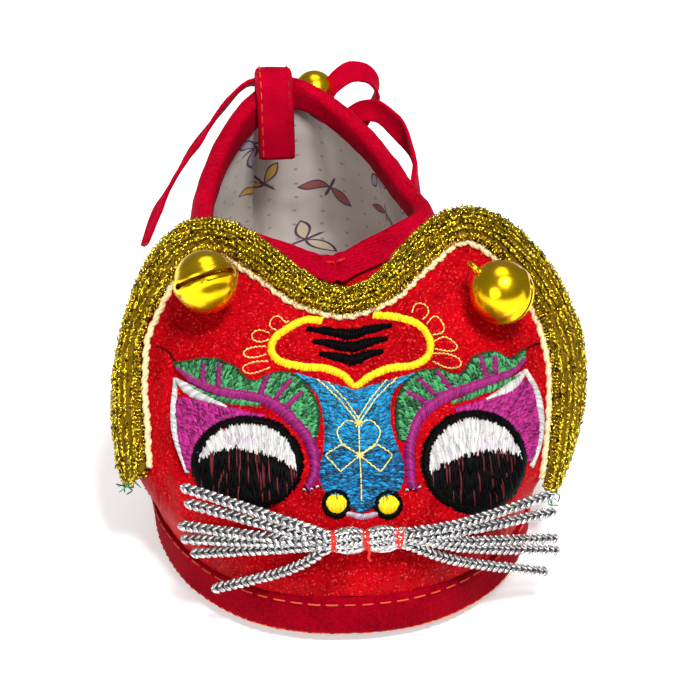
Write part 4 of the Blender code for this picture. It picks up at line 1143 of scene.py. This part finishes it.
def makeEye(label, eye):
    fine, size, thick, gap = (threadSizes[key] for key in ("fine", "thread", "thick", "spacing"))
    centre, half = np.array(eye["at"]), np.array(eye["half"])

    def around(share, a):  # points on the eye's oval, or on a smaller one inside it
        return centre + half * share * np.column_stack([np.cos(a), np.sin(a)])

    turn = np.linspace(0, 2 * math.pi, 48, endpoint=False)
    pad = padPiece(
        "eyePad" + label, around(0.96, turn), threadSizes["eyePad"], "black_thread", "eye_" + label.lower()
    )
    tree = treeOf(facePanel, pad)

    # the ball: a black rim and lower half, white above, a pale mist where they meet
    ring = np.linspace(0, 2 * math.pi, 90)
    black = satinStitch(around(0.92, ring), eyeWidths["rim"], 0.22, slant=0.5, ragged=0.5)
    black += satinStitch(around(0.93, ring), eyeWidths["rimOver"], 0.28, slant=-0.4, ragged=0.5)
    side = np.linspace(-0.86, 0.86, 60)
    level, lean, bow = eye["border"]
    low = centre + half * np.column_stack([side, -0.92 * np.sqrt(1 - side ** 2)])
    edge = centre + half * np.column_stack([side, level + lean * side + bow * side ** 2])
    streaks, lower = some(fillStitch(low, edge, gap * 0.6, 0.4, 0.7, stitch=3.4), 0.13)
    arc = np.linspace(math.radians(176), math.radians(4), 60)
    white = fillStitch(edge - (0, 0.5), around(0.85, arc), gap * 0.7, 0.9, 0.5, stitch=2.6)
    mist = some(fillStitch(edge - (0, 0.2), edge + (0, 0.26 * half[1]), gap, 0.4, 1.0), 0.45)[0]
    for name, pairs, arch, lift, radius, thread in (
        ("eyeWhite", white, 0.22, 0.02, size, whiteThread),
        ("eyeMist", mist, 0.2, 0.1, size * 0.8, lilacThread),
        ("eyeBlack", black + lower, 0.28, 0.06, size, blackThread),
        ("eyeStreaks", streaks, 0.28, 0.09, size, darkRedThread),
    ):
        threadPiece(name + label, sew(pairs, arch, lift, tree), radius, thread, "black_thread")

    # the violet wedge, and the brow: plum with ticks, a green ruffle and its dark edge
    brow, ruffle = smoothLine(eye["brow"], 70), smoothLine(eye["ruffle"], 90)
    turn = np.radians(np.linspace(*eye["wedgeTurn"], 30))
    wedge = fillStitch(around(0.98, turn), eye["wedge"], gap, 0.1, 0.15, stitch=1.3)
    threadPiece("eyeWedge" + label, sew(wedge, 0.38, 0.05, tree), thick, violetThread, "green_thread")
    plum = sew(satinStitch(brow, eyeWidths["brow"], gap * 0.7, slant=0.45, ragged=0.2), 0.85, 0.1)
    for tick in eye["ticks"]:
        plum += sew(satinStitch(tick, eyeWidths["tick"], 0.26, slant=0.7, ragged=0.4), 0.6, 0.4)
    threadPiece("browPlum" + label, plum, thick, plumThread, "green_thread")
    reach = int(np.argmin(np.linalg.norm(brow - ruffle[-1], axis=1))) + 1
    green = sew(fillStitch(brow[:reach], ruffle, gap * 1.15, 0.1, 0.3, stitch=1.2), 0.55, 0.05)
    under = satinStitch(smoothLine(eye["under"], 20), eyeWidths["under"], 0.36, slant=0.6, ragged=0.4)
    green += sew(under, 0.4, 0.12, tree)
    threadPiece("browGreen" + label, green, thick, greenThread, "green_thread", "brow_" + label.lower())
    ground = sew(fillStitch(brow[:reach], ruffle, gap * 0.8, 0.0, 0.1), 0.12, 0.02)
    ground += sew(satinStitch(ruffle, eyeWidths["edge"], 0.3, slant=0.9, ragged=0.5), 0.35, 0.15)
    threadPiece("browEdge" + label, ground, size, darkGreen, "green_thread")

    # white liner and lid, small stitches at the corners
    liner = satinStitch(smoothLine(eye["liner"], 40), eyeWidths["liner"], gap * 0.75, slant=0.7)
    lid = satinStitch(smoothLine(eye["lid"], 40), eyeWidths["lid"], gap * 0.75, slant=0.7)
    pale = sew(liner, 0.45, 0.12, tree) + sew(lid, 0.45, 0.16, tree)
    pale += sew(dashes(eye["foot"], 1.3, 0.5), 0.3, 0.1)
    threadPiece("eyeLiner" + label, pale, size, whiteThread, "black_thread")
    dark = sew(dashes(eye["corner"], 0.9, 0.05), 0.15, 0.1) + sew(dashes(eye["foot"], 0.65, 0.3), 0.2, 0.08)
    threadPiece("eyeCorner" + label, dark, fine, blackThread, "black_thread")


noseLook = {
    "left": ((-11.3, 47.0), (-7.8, 43.6), (-6.8, 38.8), (-7.1, 34.5), (-8.2, 30.2), (-7.9, 27.0),
             (-5.6, 25.0), (-2.2, 22.9)),
    "right": ((10.2, 46.0), (6.0, 43.3), (4.8, 38.6), (5.3, 34.6), (6.4, 30.6), (5.9, 27.2),
              (3.9, 25.0), (-0.8, 22.9)),
    "middle": ((-0.9, 43.4), (-1.0, 40.5), (-1.2, 37.2), (-1.2, 33.5), (-1.3, 30.0), (-1.5, 27.0),
               (-1.5, 25.0), (-1.5, 22.7)),
    "dots": ((-5.8, 24.3), (3.1, 23.7)), "dotSize": 1.75, "dotRing": 0.35,
    # painted shade: below this height a share of the blue stitches are darker
    "shadeBelow": 34.0, "shadeShare": 0.6,
    "stem": ((-0.9, 37.7), (-1.2, 32.2), (-1.3, 28.0), (-1.5, 24.6)),
    "rays": (((6.8, 45.4), (2.7, 42.0), (-0.9, 37.7)), ((5.0, 45.1), (1.4, 41.6), (-1.0, 38.4)),
             ((-7.6, 45.8), (-4.0, 42.1), (-0.9, 37.7)), ((-5.8, 45.2), (-2.7, 41.6), (-0.8, 38.4))),
    "petals": (((-0.9, 37.7), (1.3, 38.3), (2.9, 36.2), (2.0, 34.2), (-1.2, 32.2)),
               ((-0.9, 37.7), (-3.0, 38.4), (-4.9, 36.5), (-4.2, 34.4), (-1.2, 32.2)),
               ((-1.2, 32.2), (2.0, 33.9), (4.6, 32.0), (2.2, 29.2), (-1.2, 32.2)),
               ((-1.2, 32.2), (-4.2, 34.2), (-7.0, 32.5), (-4.8, 29.6), (-1.2, 32.2))),
    "star": 0.75, "lip": ((-4.0, 22.6), (-1.5, 21.9), (1.2, 22.3)), "lipWidths": (0.3, 0.4, 0.3),
    "ringWidths": (0.36, 0.36), "padInset": 0.12,
}


def makeNose():
    fine, size, thick, gap = (threadSizes[key] for key in ("fine", "thread", "thick", "spacing"))
    left, right, middle = (smoothLine(noseLook[key], 30) for key in ("left", "right", "middle"))
    mid = (left + right) / 2
    rims = [(rim + (mid - rim) * noseLook["padInset"])[3:-1] for rim in (left, right)]
    outline = np.vstack([rims[0], rims[1][::-1], rims[0][:1]])
    pad = padPiece("nosePad", evenly(outline, 49)[:-1], threadSizes["nosePad"], "blue_thread", "nose")
    tree = treeOf(facePanel, pad)
    blue = [pair for rim in (left, right) for pair in fillStitch(rim, middle, gap, 0.1, 0.5, stitch=1.2)]
    foot = [pair for pair in blue if pair[0][1] < noseLook["shadeBelow"]]
    deep, rest = some(foot, noseLook["shadeShare"])  # painted shade: part of the stitches low on the nose are a darker blue
    blue = rest + [pair for pair in blue if pair[0][1] >= noseLook["shadeBelow"]]
    threadPiece("noseBlue", sew(blue, 0.30, 0.05, tree), thick, blueThread, "blue_thread")
    threadPiece("noseDeep", sew(deep, 0.30, 0.05, tree), thick, deepBlue, "blue_thread")
    pale = []
    for line in (noseLook["stem"], *noseLook["rays"], *noseLook["petals"]):
        pale += sew(dashes(line, 0.85, 0.16), 0.16, 0.46, tree)
    for knot in noseLook["petals"][0][0], noseLook["petals"][0][-1]:  # a small star where lines cross
        for a in np.linspace(0, math.pi, 4, endpoint=False):
            reach = noseLook["star"] * np.array((math.cos(a), math.sin(a)))
            pale += sew([(knot - reach, knot + reach)], 0.25, 0.5, tree)
    threadPiece("noseLattice", pale, fine, paleYellow, "yellow_thread")
    turn, side = np.linspace(0, 2 * math.pi, 40), np.linspace(-0.95, 0.95, 14)
    rise, radius = np.sqrt(1 - side ** 2), noseLook["dotSize"]
    yellow, rings = [], []
    for dot in noseLook["dots"]:
        low, high = (np.array(dot) + radius * np.column_stack([side, way * rise]) for way in (-1, 1))
        yellow += sew(fillStitch(low, high, 0.24), 0.95, 0.1, tree)
        ring = np.array(dot) + (radius + noseLook["dotRing"]) * np.column_stack([np.cos(turn), np.sin(turn)])
        rings += sew(satinStitch(ring, noseLook["ringWidths"], 0.24, slant=0.9, ragged=0.3), 0.3, 0.25, tree)
    threadPiece("noseDots", yellow, size, yellowThread, "yellow_thread")
    threadPiece("noseRing", rings, size, blackThread, "black_thread")
    lip = satinStitch(smoothLine(noseLook["lip"], 20), noseLook["lipWidths"], 0.3, slant=0.8)
    threadPiece("noseLip", sew(lip, 0.3, 0.1), size, lilacThread, "blue_thread")


foreheadLook = {
    "ring": ((-5.7, 56.3), (-8.6, 56.6), (-12.0, 55.3), (-14.6, 53.4), (-15.2, 51.3), (-13.8, 49.4),
             (-10.2, 48.3), (-5.8, 47.7), (-2.6, 46.2), (-0.9, 44.2), (1.9, 45.9), (5.6, 47.2),
             (10.1, 47.6), (12.8, 49.3), (13.3, 51.9), (11.8, 54.6), (8.3, 56.2), (3.9, 56.9)),
    "ringWidths": (0.5, 0.5, 0.5),
    "stripes": {"count": 3, "step": 2.3, "top": 53.9, "middle": -0.9, "reach": 7.6, "shorter": 1.0,
                "widths": (0.35, 0.75, 1.0, 0.75, 0.35)},
    "petals": (
        ((-11.6, 56.6), (-12.3, 56.2), (-13.5, 57.6), (-14.9, 57.0), (-15.2, 55.6), (-14.0, 55.0)),
        ((-15.3, 54.5), (-17.2, 55.2), (-18.6, 54.4), (-18.3, 53.4), (-17.0, 53.0), (-15.4, 53.4)),
        ((-16.1, 52.2), (-18.6, 52.1), (-20.3, 51.4), (-19.9, 50.5), (-18.1, 50.3), (-16.1, 50.8)),
        ((-15.9, 49.5), (-18.4, 49.5), (-20.6, 48.7), (-20.2, 47.7), (-18.5, 47.5), (-15.6, 48.4)),
        ((10.6, 57.0), (11.4, 58.6), (13.2, 58.3), (13.6, 56.8), (12.4, 55.7)),
        ((13.0, 54.8), (14.7, 56.3), (16.0, 54.7), (15.9, 53.2), (13.9, 52.8)),
        ((14.0, 51.6), (16.1, 52.4), (18.2, 50.6), (17.1, 49.7), (14.0, 50.3)),
        ((13.7, 49.5), (16.2, 49.3), (18.3, 48.3), (18.4, 46.9), (15.9, 46.8), (13.4, 48.1))),
}


def makeForehead():
    fine, size, thick, gap = (threadSizes[key] for key in ("fine", "thread", "thick", "spacing"))
    ring = smoothLine(foreheadLook["ring"], 120)
    yellow = satinStitch(ring, foreheadLook["ringWidths"], gap * 0.75, slant=0.5, ragged=0.2)
    threadPiece("foreheadRing", sew(yellow, 0.75, 0.1), thick, yellowThread, "yellow_thread", "forehead_ring")
    pale = [thread for line in foreheadLook["petals"]
            for thread in sew(dashes(smoothLine(line, 16), 0.7, 0.3), 0.16, 0.06)]
    threadPiece("foreheadPetals", pale, fine, paleYellow, "yellow_thread")
    black, look = [], foreheadLook["stripes"]
    for k in range(look["count"]):  # nested chevrons
        x, top, reach = look["middle"], look["top"] - k * look["step"], look["reach"] - look["shorter"] * k
        stripe = smoothLine(((x - reach, top + 1.1), (x - reach / 2, top + 0.5), (x, top - 0.3),
                             (x + reach / 2, top + 0.5), (x + reach, top + 1.0)), 60)
        black += satinStitch(stripe, look["widths"], gap * 0.8, slant=0.3, ragged=0.2)
    threadPiece("foreheadStripes", sew(black, 0.5, 0.08), size, blackThread, "black_thread")


for label, eye in eyes.items():
    makeEye(label, eye)
makeNose()
makeForehead()
print("embroidery sewn")


# gold braid

braidLook = {
    "rows": 6, "pitch": 0.72, "flake": 0.86, "yarn": 0.30, "loose": 3000, "looseSize": 0.62, "spread": 0.94,
    "layers": (0.16, 0.34), "lean": 0.5, "landing": (0.006, 0.012, 0.0015),
}
creamLook = {
    "gap": 0.4, "radius": 0.55, "ply": 0.37, "twist": 0.52, "lay": 0.75, "step": 0.42,
    "waves": ((0.2, 2.5), (0.15, 0.6)), "landing": (0.008, 0.020, -0.001),
}
tuftLook = {"threads": 9, "points": 14, "droop": (0, -0.15, -0.35)}


def braidSections():  # the CAD braid's own sections, walked from its left end
    work = bmesh.new()
    work.from_mesh(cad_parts["gold_braid"].data)
    bmesh.ops.remove_doubles(work, verts=work.verts, dist=1e-6)
    work.verts.ensure_lookup_table()
    low = min(v.co.z for v in work.verts if v.co.x < 0)
    ring = set()
    for f in work.faces:
        centre = f.calc_center_median()
        if f.normal.z < -0.6 and centre.z < low + 0.004 and centre.x < 0:
            ring |= set(f.verts)
    seen, sections = set(ring), []
    while ring:
        sections.append(np.array([v.co for v in ring]))
        ring = {e.other_vert(v) for v in ring for e in v.link_edges} - seen
        seen |= ring
    work.free()
    return [s for s in sections if len(s) >= 6]


def braidFrame(count):  # middle line, inward and outward directions, width in mm
    sections = braidSections()
    middle = np.array([s.mean(axis=0) for s in sections])
    side = [np.linalg.svd(s - m)[2][0] for s, m in zip(sections, middle)]
    ahead = headings(middle)
    inward = np.array((swing(0.0), -0.030, 0.028)) - middle  # towards the middle of the face
    side = squared(np.array([s if np.dot(s, i) > 0 else -s for s, i in zip(side, inward)]), ahead)
    out = np.cross(side, ahead)
    for o, m in zip(out, middle):
        if np.dot(o, (0, -0.8, 0.6)) <= 0 and np.dot(o, m - (0, 0, 0.02)) <= 0:
            o *= -1
    run = runOf(middle)
    at = np.linspace(0, run[-1], count)
    width = np.array([np.ptp((s - m) @ a) / mm for s, m, a in zip(sections, middle, side)])
    side, out = (unit(readAt(at, run, softened(way, 2))) for way in (side, out))
    return readAt(at, run, softened(middle, 1)), side, out, np.interp(at, run, softened(width, 2))


def laidOn(skin, place, out, landing):  # straight down onto a piece, or else its nearest point
    above, reach, near = landing
    hit, normal, _, _ = skin.ray_cast(Vector(place + out * above), Vector(-out), reach)
    if hit is None:
        hit, normal, _, _ = skin.find_nearest(Vector(place + out * near))
    return np.array(hit), np.array(normal)


def makeFilm(skin, middle, side, out, width):  # rows of yarn under film flakes, stray ends at the edges
    corners = ((-0.5, 0, 0), (-0.1, 0.17, 0.06), (0.5, 0, 0), (-0.1, -0.17, 0.06), (0.05, 0, 0.2))
    flake = newPiece(
        "flakeShape", np.array(corners) * mm, [(0, 1, 4), (1, 2, 4), (2, 3, 4), (3, 0, 4), (0, 3, 2, 1)]
    )
    points, ahead, facing, strands = [], [], [], []
    for k in range(braidLook["rows"]):
        share = ((k + 0.5) / braidLook["rows"] - 0.5) * braidLook["spread"]
        landed = [laidOn(skin, m + s * share * w * mm, o, braidLook["landing"])
                  for m, s, o, w in zip(middle, side, out, width)]
        row, up = (softened(values, 2) for values in zip(*landed))
        count = int(runOf(row)[-1] / mm / braidLook["pitch"])
        line, face = evenly(row, count), unit(evenly(unit(up), count))
        strands.append(line + face * 0.10 * mm)
        way = headings(line)
        across = np.cross(face, way)
        lean = braidLook["lean"] if k % 2 else -braidLook["lean"]
        for layer in braidLook["layers"]:
            lift = layer + dice.uniform(-0.08, 0.16, (count, 1))
            shift = dice.uniform(-0.28, 0.28, (count, 1))
            points += list(line + face * lift * mm + across * shift * mm)
            ahead += list(unit(way + across * (lean + dice.uniform(-0.5, 0.5, (count, 1)))))
            facing += list(face)
    half = corners[2][0]
    look = {"shape": flake, "size": braidLook["flake"] / half, "tilt": 0.75, "vary": 0.35}
    scatterPiece("braidGlitter", (points, ahead, facing), look, goldTinsel, "tinsel")
    threadPiece("braidYarns", strands, braidLook["yarn"], goldGround, "tinsel", sides=6)

    loose, ahead, facing = [], [], []
    for _ in range(braidLook["loose"]):
        i = dice.integers(2, len(middle) - 2)
        edge = side[i] * (1 if dice.uniform() < 0.5 else -1)
        near = middle[i] + (edge * width[i] * 0.5 + out[i] * dice.uniform(-1.2, 1.0)) * mm
        hit, normal, _, _ = skin.find_nearest(Vector(near))
        loose.append(np.array(hit) + np.array(normal) * dice.uniform(0.1, 0.4) * mm)
        ahead.append(unit(edge + out[i] * dice.uniform(-0.6, 0.9) + dice.normal(0, 0.4, 3)))
        facing.append(out[i])
    look = {"shape": flake, "size": braidLook["looseSize"] / half, "tilt": 0.5, "vary": 0.4}
    scatterPiece("braidFringe", (loose, ahead, facing), look, goldTinsel, "tinsel")
    bpy.data.objects.remove(flake)


def makeCreamCord(middle, side, out, width):  # three plies on the satin against the braid's inner edge
    step, radius = creamLook["step"], creamLook["radius"]
    landed = [laidOn(sewOn, m + s * (w / 2 + creamLook["gap"]) * mm, o, creamLook["landing"])
              for m, s, o, w in zip(middle[4:-4], side[4:-4], out[4:-4], width[4:-4])]
    cord, up = (softened(values, 4) for values in zip(*landed))
    count = int(runOf(cord)[-1] / mm / step)
    line, face = evenly(cord, count), unit(evenly(unit(up), count))
    across = unit(np.cross(face, headings(line)))
    run = np.arange(count) * step
    wave = sum(size * np.sin(run * rate) for size, rate in creamLook["waves"])[:, None]
    line = line + across * wave * mm + face * radius * creamLook["lay"] * mm
    plies = []
    for phase in (0, 2 * math.pi / 3, 4 * math.pi / 3):
        a = np.arange(count)[:, None] * 0.75 + phase
        plies.append(line + (across * np.cos(a) + face * np.sin(a)) * radius * creamLook["twist"] * mm)
    threadPiece("creamCord", plies, creamLook["ply"], creamThread, "tinsel", sides=6)


def makeTufts(middle, side, out):  # loose sewing threads where the braid's ends are tacked down
    tufts = []
    for end in (0, -1):
        for _ in range(tuftLook["threads"]):
            shift, lift = dice.uniform(-1.8, 2.8), dice.uniform(0.4, 1.0)
            root = middle[end] + (side[end] * shift + out[end] * lift) * mm
            bends = [root + (dice.normal(0, 0.4, 3) + tuftLook["droop"]) * (k * mm) for k in range(4)]
            tufts.append(smoothLine(bends, tuftLook["points"]))
    threadPiece("braidTufts", tufts, threadSizes["fine"], greenThread, "tinsel")


def makeBraid():
    ground = softCopy("gold_braid", "braidGround", 2, goldGround)
    dress(ground, "tinsel", "gold_braid")
    middle, side, out, width = braidFrame(260)
    makeFilm(treeOf(ground), middle, side, out, width)
    makeCreamCord(middle, side, out, width)
    makeTufts(middle, side, out)


makeBraid()
print("braid made")


# bells

bells = {  # mouth: the way the slot looks; slot: the way it runs; hang: how its thread lets it hang
    "bell_ear_left": {
        "size": 11.5, "mouth": (-0.08, -0.74, 0.66), "slot": (1.0, 0.0, 0.34), "hang": (0, 0, 0)},
    "bell_ear_right": {
        "size": 11.5, "mouth": (0.60, -0.68, -0.42), "slot": (0.62, 0.1, 0.75), "hang": (0, 0, 0)},
    "bell_heel": {
        "size": 8.4, "mouth": (0.0, 0.9, -0.4), "slot": (1.0, 0.0, 0.0), "hang": (-0.3, 0.3, -0.9)},
}
bellShape = {  # shares of the radius
    "inside": 0.9, "slotHalf": 0.84, "slotWide": 0.05, "slotHole": 0.10,
    "lip": (0.05, 0.15, 0.09), "dip": (0.02, 0.38, 0.12),  # rise, place and half width
    "loop": 0.25, "loopOff": 1.06, "wire": 0.095, "hold": 1.25,
}


def ballMiddle(points):  # least squares
    table = np.column_stack([2 * points, np.ones(len(points))])
    return np.linalg.lstsq(table, (points ** 2).sum(axis=1), rcond=None)[0][:3]


def bellCentre(nodeName, radius):  # the ball's middle, with the loop's points left aside
    points = np.unique(np.round([v.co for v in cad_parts[nodeName].data.vertices], 7), axis=0)
    centre = points.mean(axis=0)
    for _ in range(8):
        ball = points[np.linalg.norm(points - centre, axis=1) < radius * 1.1]
        centre = ballMiddle(ball[np.linalg.norm(ball - ballMiddle(ball), axis=1) > radius * 0.94])
    far = points[np.linalg.norm(points - centre, axis=1) > radius * 1.12]
    return centre, unit(far.mean(axis=0) - centre)


def slotCutter(radius, axes, centre):  # a long slot with a round hole at both ends
    half, wide, hole = (bellShape[key] * radius for key in ("slotHalf", "slotWide", "slotHole"))
    end = [(half + hole * math.cos(t), hole * math.sin(t)) for t in np.linspace(-2.4, 2.4, 14)]
    end = [(x, y) if abs(y) > wide or x > half else (x, math.copysign(wide, y)) for x, y in end]
    outline = end + [(-x, -y) for x, y in end]
    points = [
        np.array((x, y, z)) @ axes + centre for z in (-1.25 * radius, -0.1 * radius) for x, y in outline
    ]
    faces = endFaces(2, len(outline)) + ringFaces(2, len(outline))
    return tidyMesh(newPiece("slotCutter", points, faces))


def makeBell(nodeName, look):
    name, radius = pieceName(nodeName), look["size"] / 2 * mm
    centre, loopWay = bellCentre(nodeName, radius)
    centre = centre + np.array(look["hang"]) * mm
    mouth, slot = -unit(look["mouth"]), np.array(look["slot"])
    across = unit(slot - mouth * np.dot(slot, mouth))
    axes = np.array([across, np.cross(mouth, across), mouth])
    work = bmesh.new()
    for share, turned in ((1.0, False), (bellShape["inside"], True)):
        made = bmesh.ops.create_uvsphere(work, u_segments=64, v_segments=40, radius=radius * share)
        if turned:  # the inner wall looks inwards
            bmesh.ops.reverse_faces(work, faces=list({f for v in made["verts"] for f in v.link_faces}))
    (lip, lipAt, lipHalf), (dip, dipAt, dipHalf) = bellShape["lip"], bellShape["dip"]
    for v in work.verts:
        p = v.co.copy()
        if p.z < 0:  # the slot's lips are rolled a little outwards
            off = math.hypot(max(abs(p.x) - bellShape["slotHalf"] * radius, 0), p.y) / radius
            p *= 1 + lip * hump(off - lipAt, lipHalf) - dip * hump(off - dipAt, dipHalf)
        v.co = Vector(np.array(p) @ axes + centre)
    ball = newPiece(name, [])
    work.to_mesh(ball.data)
    work.free()
    cutter = slotCutter(radius, axes, centre)
    cut = ball.modifiers.new("slot", "BOOLEAN")
    cut.operation, cut.object, cut.solver = "DIFFERENCE", cutter, "EXACT"
    baked(ball)
    bpy.data.objects.remove(cutter)
    ball.data.materials.clear()
    ball.data.materials.append(bellBrass)
    ball.data.shade_smooth()
    ball.data.set_sharp_from_angle(angle=math.radians(38))
    dress(ball, "bell_brass", nodeName)

    eye, off = bellShape["loop"] * radius, bellShape["loopOff"] * radius
    wireWay = unit(np.cross(loopWay, np.cross(chartBack, loopWay)))  # the loop stands edge-on to the front
    hoop = [centre + loopWay * (math.sin(a) * eye + off) + wireWay * math.cos(a) * eye
            for a in np.linspace(0, 2 * math.pi, 29)]
    wire = bellShape["wire"] * radius / mm
    threadPiece(name + "Loop", [hoop], wire, bellBrass, "bell_brass", sides=10)
    return centre + loopWay * radius * bellShape["hold"]


def sewBell(nodeName, hold):  # the thread from the cloth to the bell's loop
    carrier = sewOn if "ear" in nodeName else treeOf(upperSatin)
    root = np.array(carrier.find_nearest(Vector(hold))[0])
    strands = []
    for _ in range(4):
        aside = dice.normal(0, 0.00045, 3)
        bends = [root + aside, (root + hold) / 2 + aside * 1.6, hold + aside * 0.4, hold - aside * 0.5]
        strands.append(smoothLine(bends, 10))
    threadPiece(pieceName(nodeName) + "Thread", strands, 0.16, redThread, "bell_brass")


for nodeName, look in bells.items():
    sewBell(nodeName, makeBell(nodeName, look))
print("bells made")


# whiskers

whiskerLook = {
    "knot": (-1.4, -1.0, 22.3), "knotLength": 12.6, "knotSize": 3.5, "pitch": 1.15, "half": 0.46,
    "link": (0.88, 0.34, 0.29), "wraps": (-5.7, 0.0, 5.7), "core": 0.42, "fray": 0.10, "binding": 0.24,
    "tips": (  # across, along and height of the cut ends
        (-31.7, 10.0, 27.2), (-31.1, 9.0, 24.5), (-32.4, 8.0, 20.6), (-32.1, 7.5, 18.1), (-30.5, 7.0, 15.3),
        (-27.2, 5.0, 8.8), (32.3, 10.0, 21.6), (32.7, 9.5, 18.2), (33.2, 8.5, 13.2), (33.5, 8.0, 10.9),
        (31.4, 7.0, 7.0)),
    "bindEnd": ((0.2, 0.6), (0.5, -1.2), (0.3, -2.4), (0.7, -3.2)),  # across and height from the knot
}


def linkShape(size):  # a smooth almond, one stitch of the plait
    points, faces, rings, sides = [(-1, 0, 0)], [], 4, 7
    turn = np.linspace(0, 2 * math.pi, sides, endpoint=False)
    for x in np.linspace(-0.78, 0.78, rings):
        r = (1 - x * x) ** 0.6
        points += [(x, r * math.cos(a), r * math.sin(a)) for a in turn]
    points.append((1, 0, 0))
    last = len(points) - 1
    for j in range(sides):
        k = (j + 1) % sides
        faces += [(0, 1 + k, 1 + j), (last, last - sides + j, last - sides + k)]
        for start in range(1, 1 + (rings - 1) * sides, sides):
            faces.append((start + j, start + k, start + sides + k, start + sides + j))
    return newPiece("linkShape", np.array(points) * size * mm, faces)


def plait(line, face, rows):  # where the links of a flat plait go, and the way they point
    points, ahead, facing = [], [], []
    way = headings(line)
    across = unit(np.cross(face, way))
    over = np.cross(way, across)
    for lean in (1, -1):
        for front in rows:
            shift = across * lean * whiskerLook["half"] + over * front * 0.30
            points += list(line + (shift + way * (0.5 if front < 0 else 0)) * mm)
            ahead += list(unit(way - across * lean * 0.62))
            facing += list(over * front)
    return points, ahead, facing


def makeWhiskers():
    knot, link = spot(*whiskerLook["knot"]), linkShape(whiskerLook["link"])
    length, size, stops = whiskerLook["knotLength"], whiskerLook["knotSize"], whiskerLook["wraps"]
    places, cores, ends = ([], [], []), [], []

    def lay(line, face, rows):
        for store, more in zip(places, plait(line, face, rows)):
            store += more

    def waist(x):  # the knot's radius, drawn in at each binding
        swell = abs(math.sin(math.pi * (x - stops[0]) / (stops[1] - stops[0]))) ** 0.7
        return size / 2 * (0.5 + 0.5 * swell)

    for n, end in enumerate(whiskerLook["tips"]):
        side, tip = math.copysign(1, end[0]), spot(*end)
        start = knot + np.array((side * 5.6, 0.2 * math.sin(n), 0.9 * math.cos(2.1 * n))) * mm
        sag = np.array((0, -2.0, 0.6 + 0.5 * math.sin(5 * n))) * mm
        path = smoothLine([start, (knot + tip) / 2 + sag, tip], 60)
        line = evenly(path, int(runOf(path)[-1] / mm / whiskerLook["pitch"]))
        cores.append(line)
        lay(line, np.tile((0.0, -0.75, 0.66), (len(line), 1)), (1, -1))
        way = unit(line[-1] - line[-2])
        for _ in range(5):  # the film frays a little at the cut end
            loose = unit(way + dice.normal(0, 0.25, 3)) * mm
            ends.append([tip - way * 0.5 * mm, tip + loose * 0.5, tip + loose * dice.uniform(0.6, 1.2)])
    for a in np.linspace(0, 2 * math.pi, 9, endpoint=False):  # the plaits run on through the knot
        xs = np.linspace(-length / 2, length / 2, 15) + dice.uniform(-0.3, 0.3)
        radii, turns = np.array([waist(x) for x in xs]), a + xs * 0.05
        face = np.column_stack([0 * xs, -np.cos(turns), np.sin(turns)])
        lay(knot + (np.outer(xs, (1, 0, 0)) + radii[:, None] * face) * mm, face, (1,))
    look = {"shape": link, "size": 1.0, "tilt": 0.10, "vary": 0.08}
    scatterPiece("whiskerPlaits", places, look, silverTinsel, "silver_cord", "whiskers")
    threadPiece("whiskerCores", cores, whiskerLook["core"], silverCore, "silver_cord", sides=7)
    threadPiece("whiskerEnds", ends, whiskerLook["fray"], silverTinsel, "silver_cord", sides=4)
    bpy.data.objects.remove(link)
    core = [[knot + np.array((x, 0, 0)) * mm for x in np.linspace(-length / 2, length / 2, 12)]]
    threadPiece("whiskerKnotCore", core, size / 2 * 0.6, silverCore, "silver_cord", sides=14)
    bind, around = [], np.linspace(0, 2 * math.pi, 25)
    for x in stops:
        for turn in range(4):  # thin red thread wound over the plaits
            r = size / 2 * 0.5 + 0.72 + 0.14 * (turn % 2)
            slope = dice.uniform(-0.45, 0.45)
            across = x + (turn - 1.5) * 0.26 + slope * np.sin(around)
            bind.append(knot + np.column_stack([across, -r * np.cos(around), r * np.sin(around)]) * mm)
    front = -size / 2 * 0.9 - 0.3
    bind.append([knot + np.array((x, front, z)) * mm for x, z in whiskerLook["bindEnd"]])
    threadPiece("whiskerBinding", bind, whiskerLook["binding"], bindThread, "silver_cord")


makeWhiskers()
print("whiskers made")
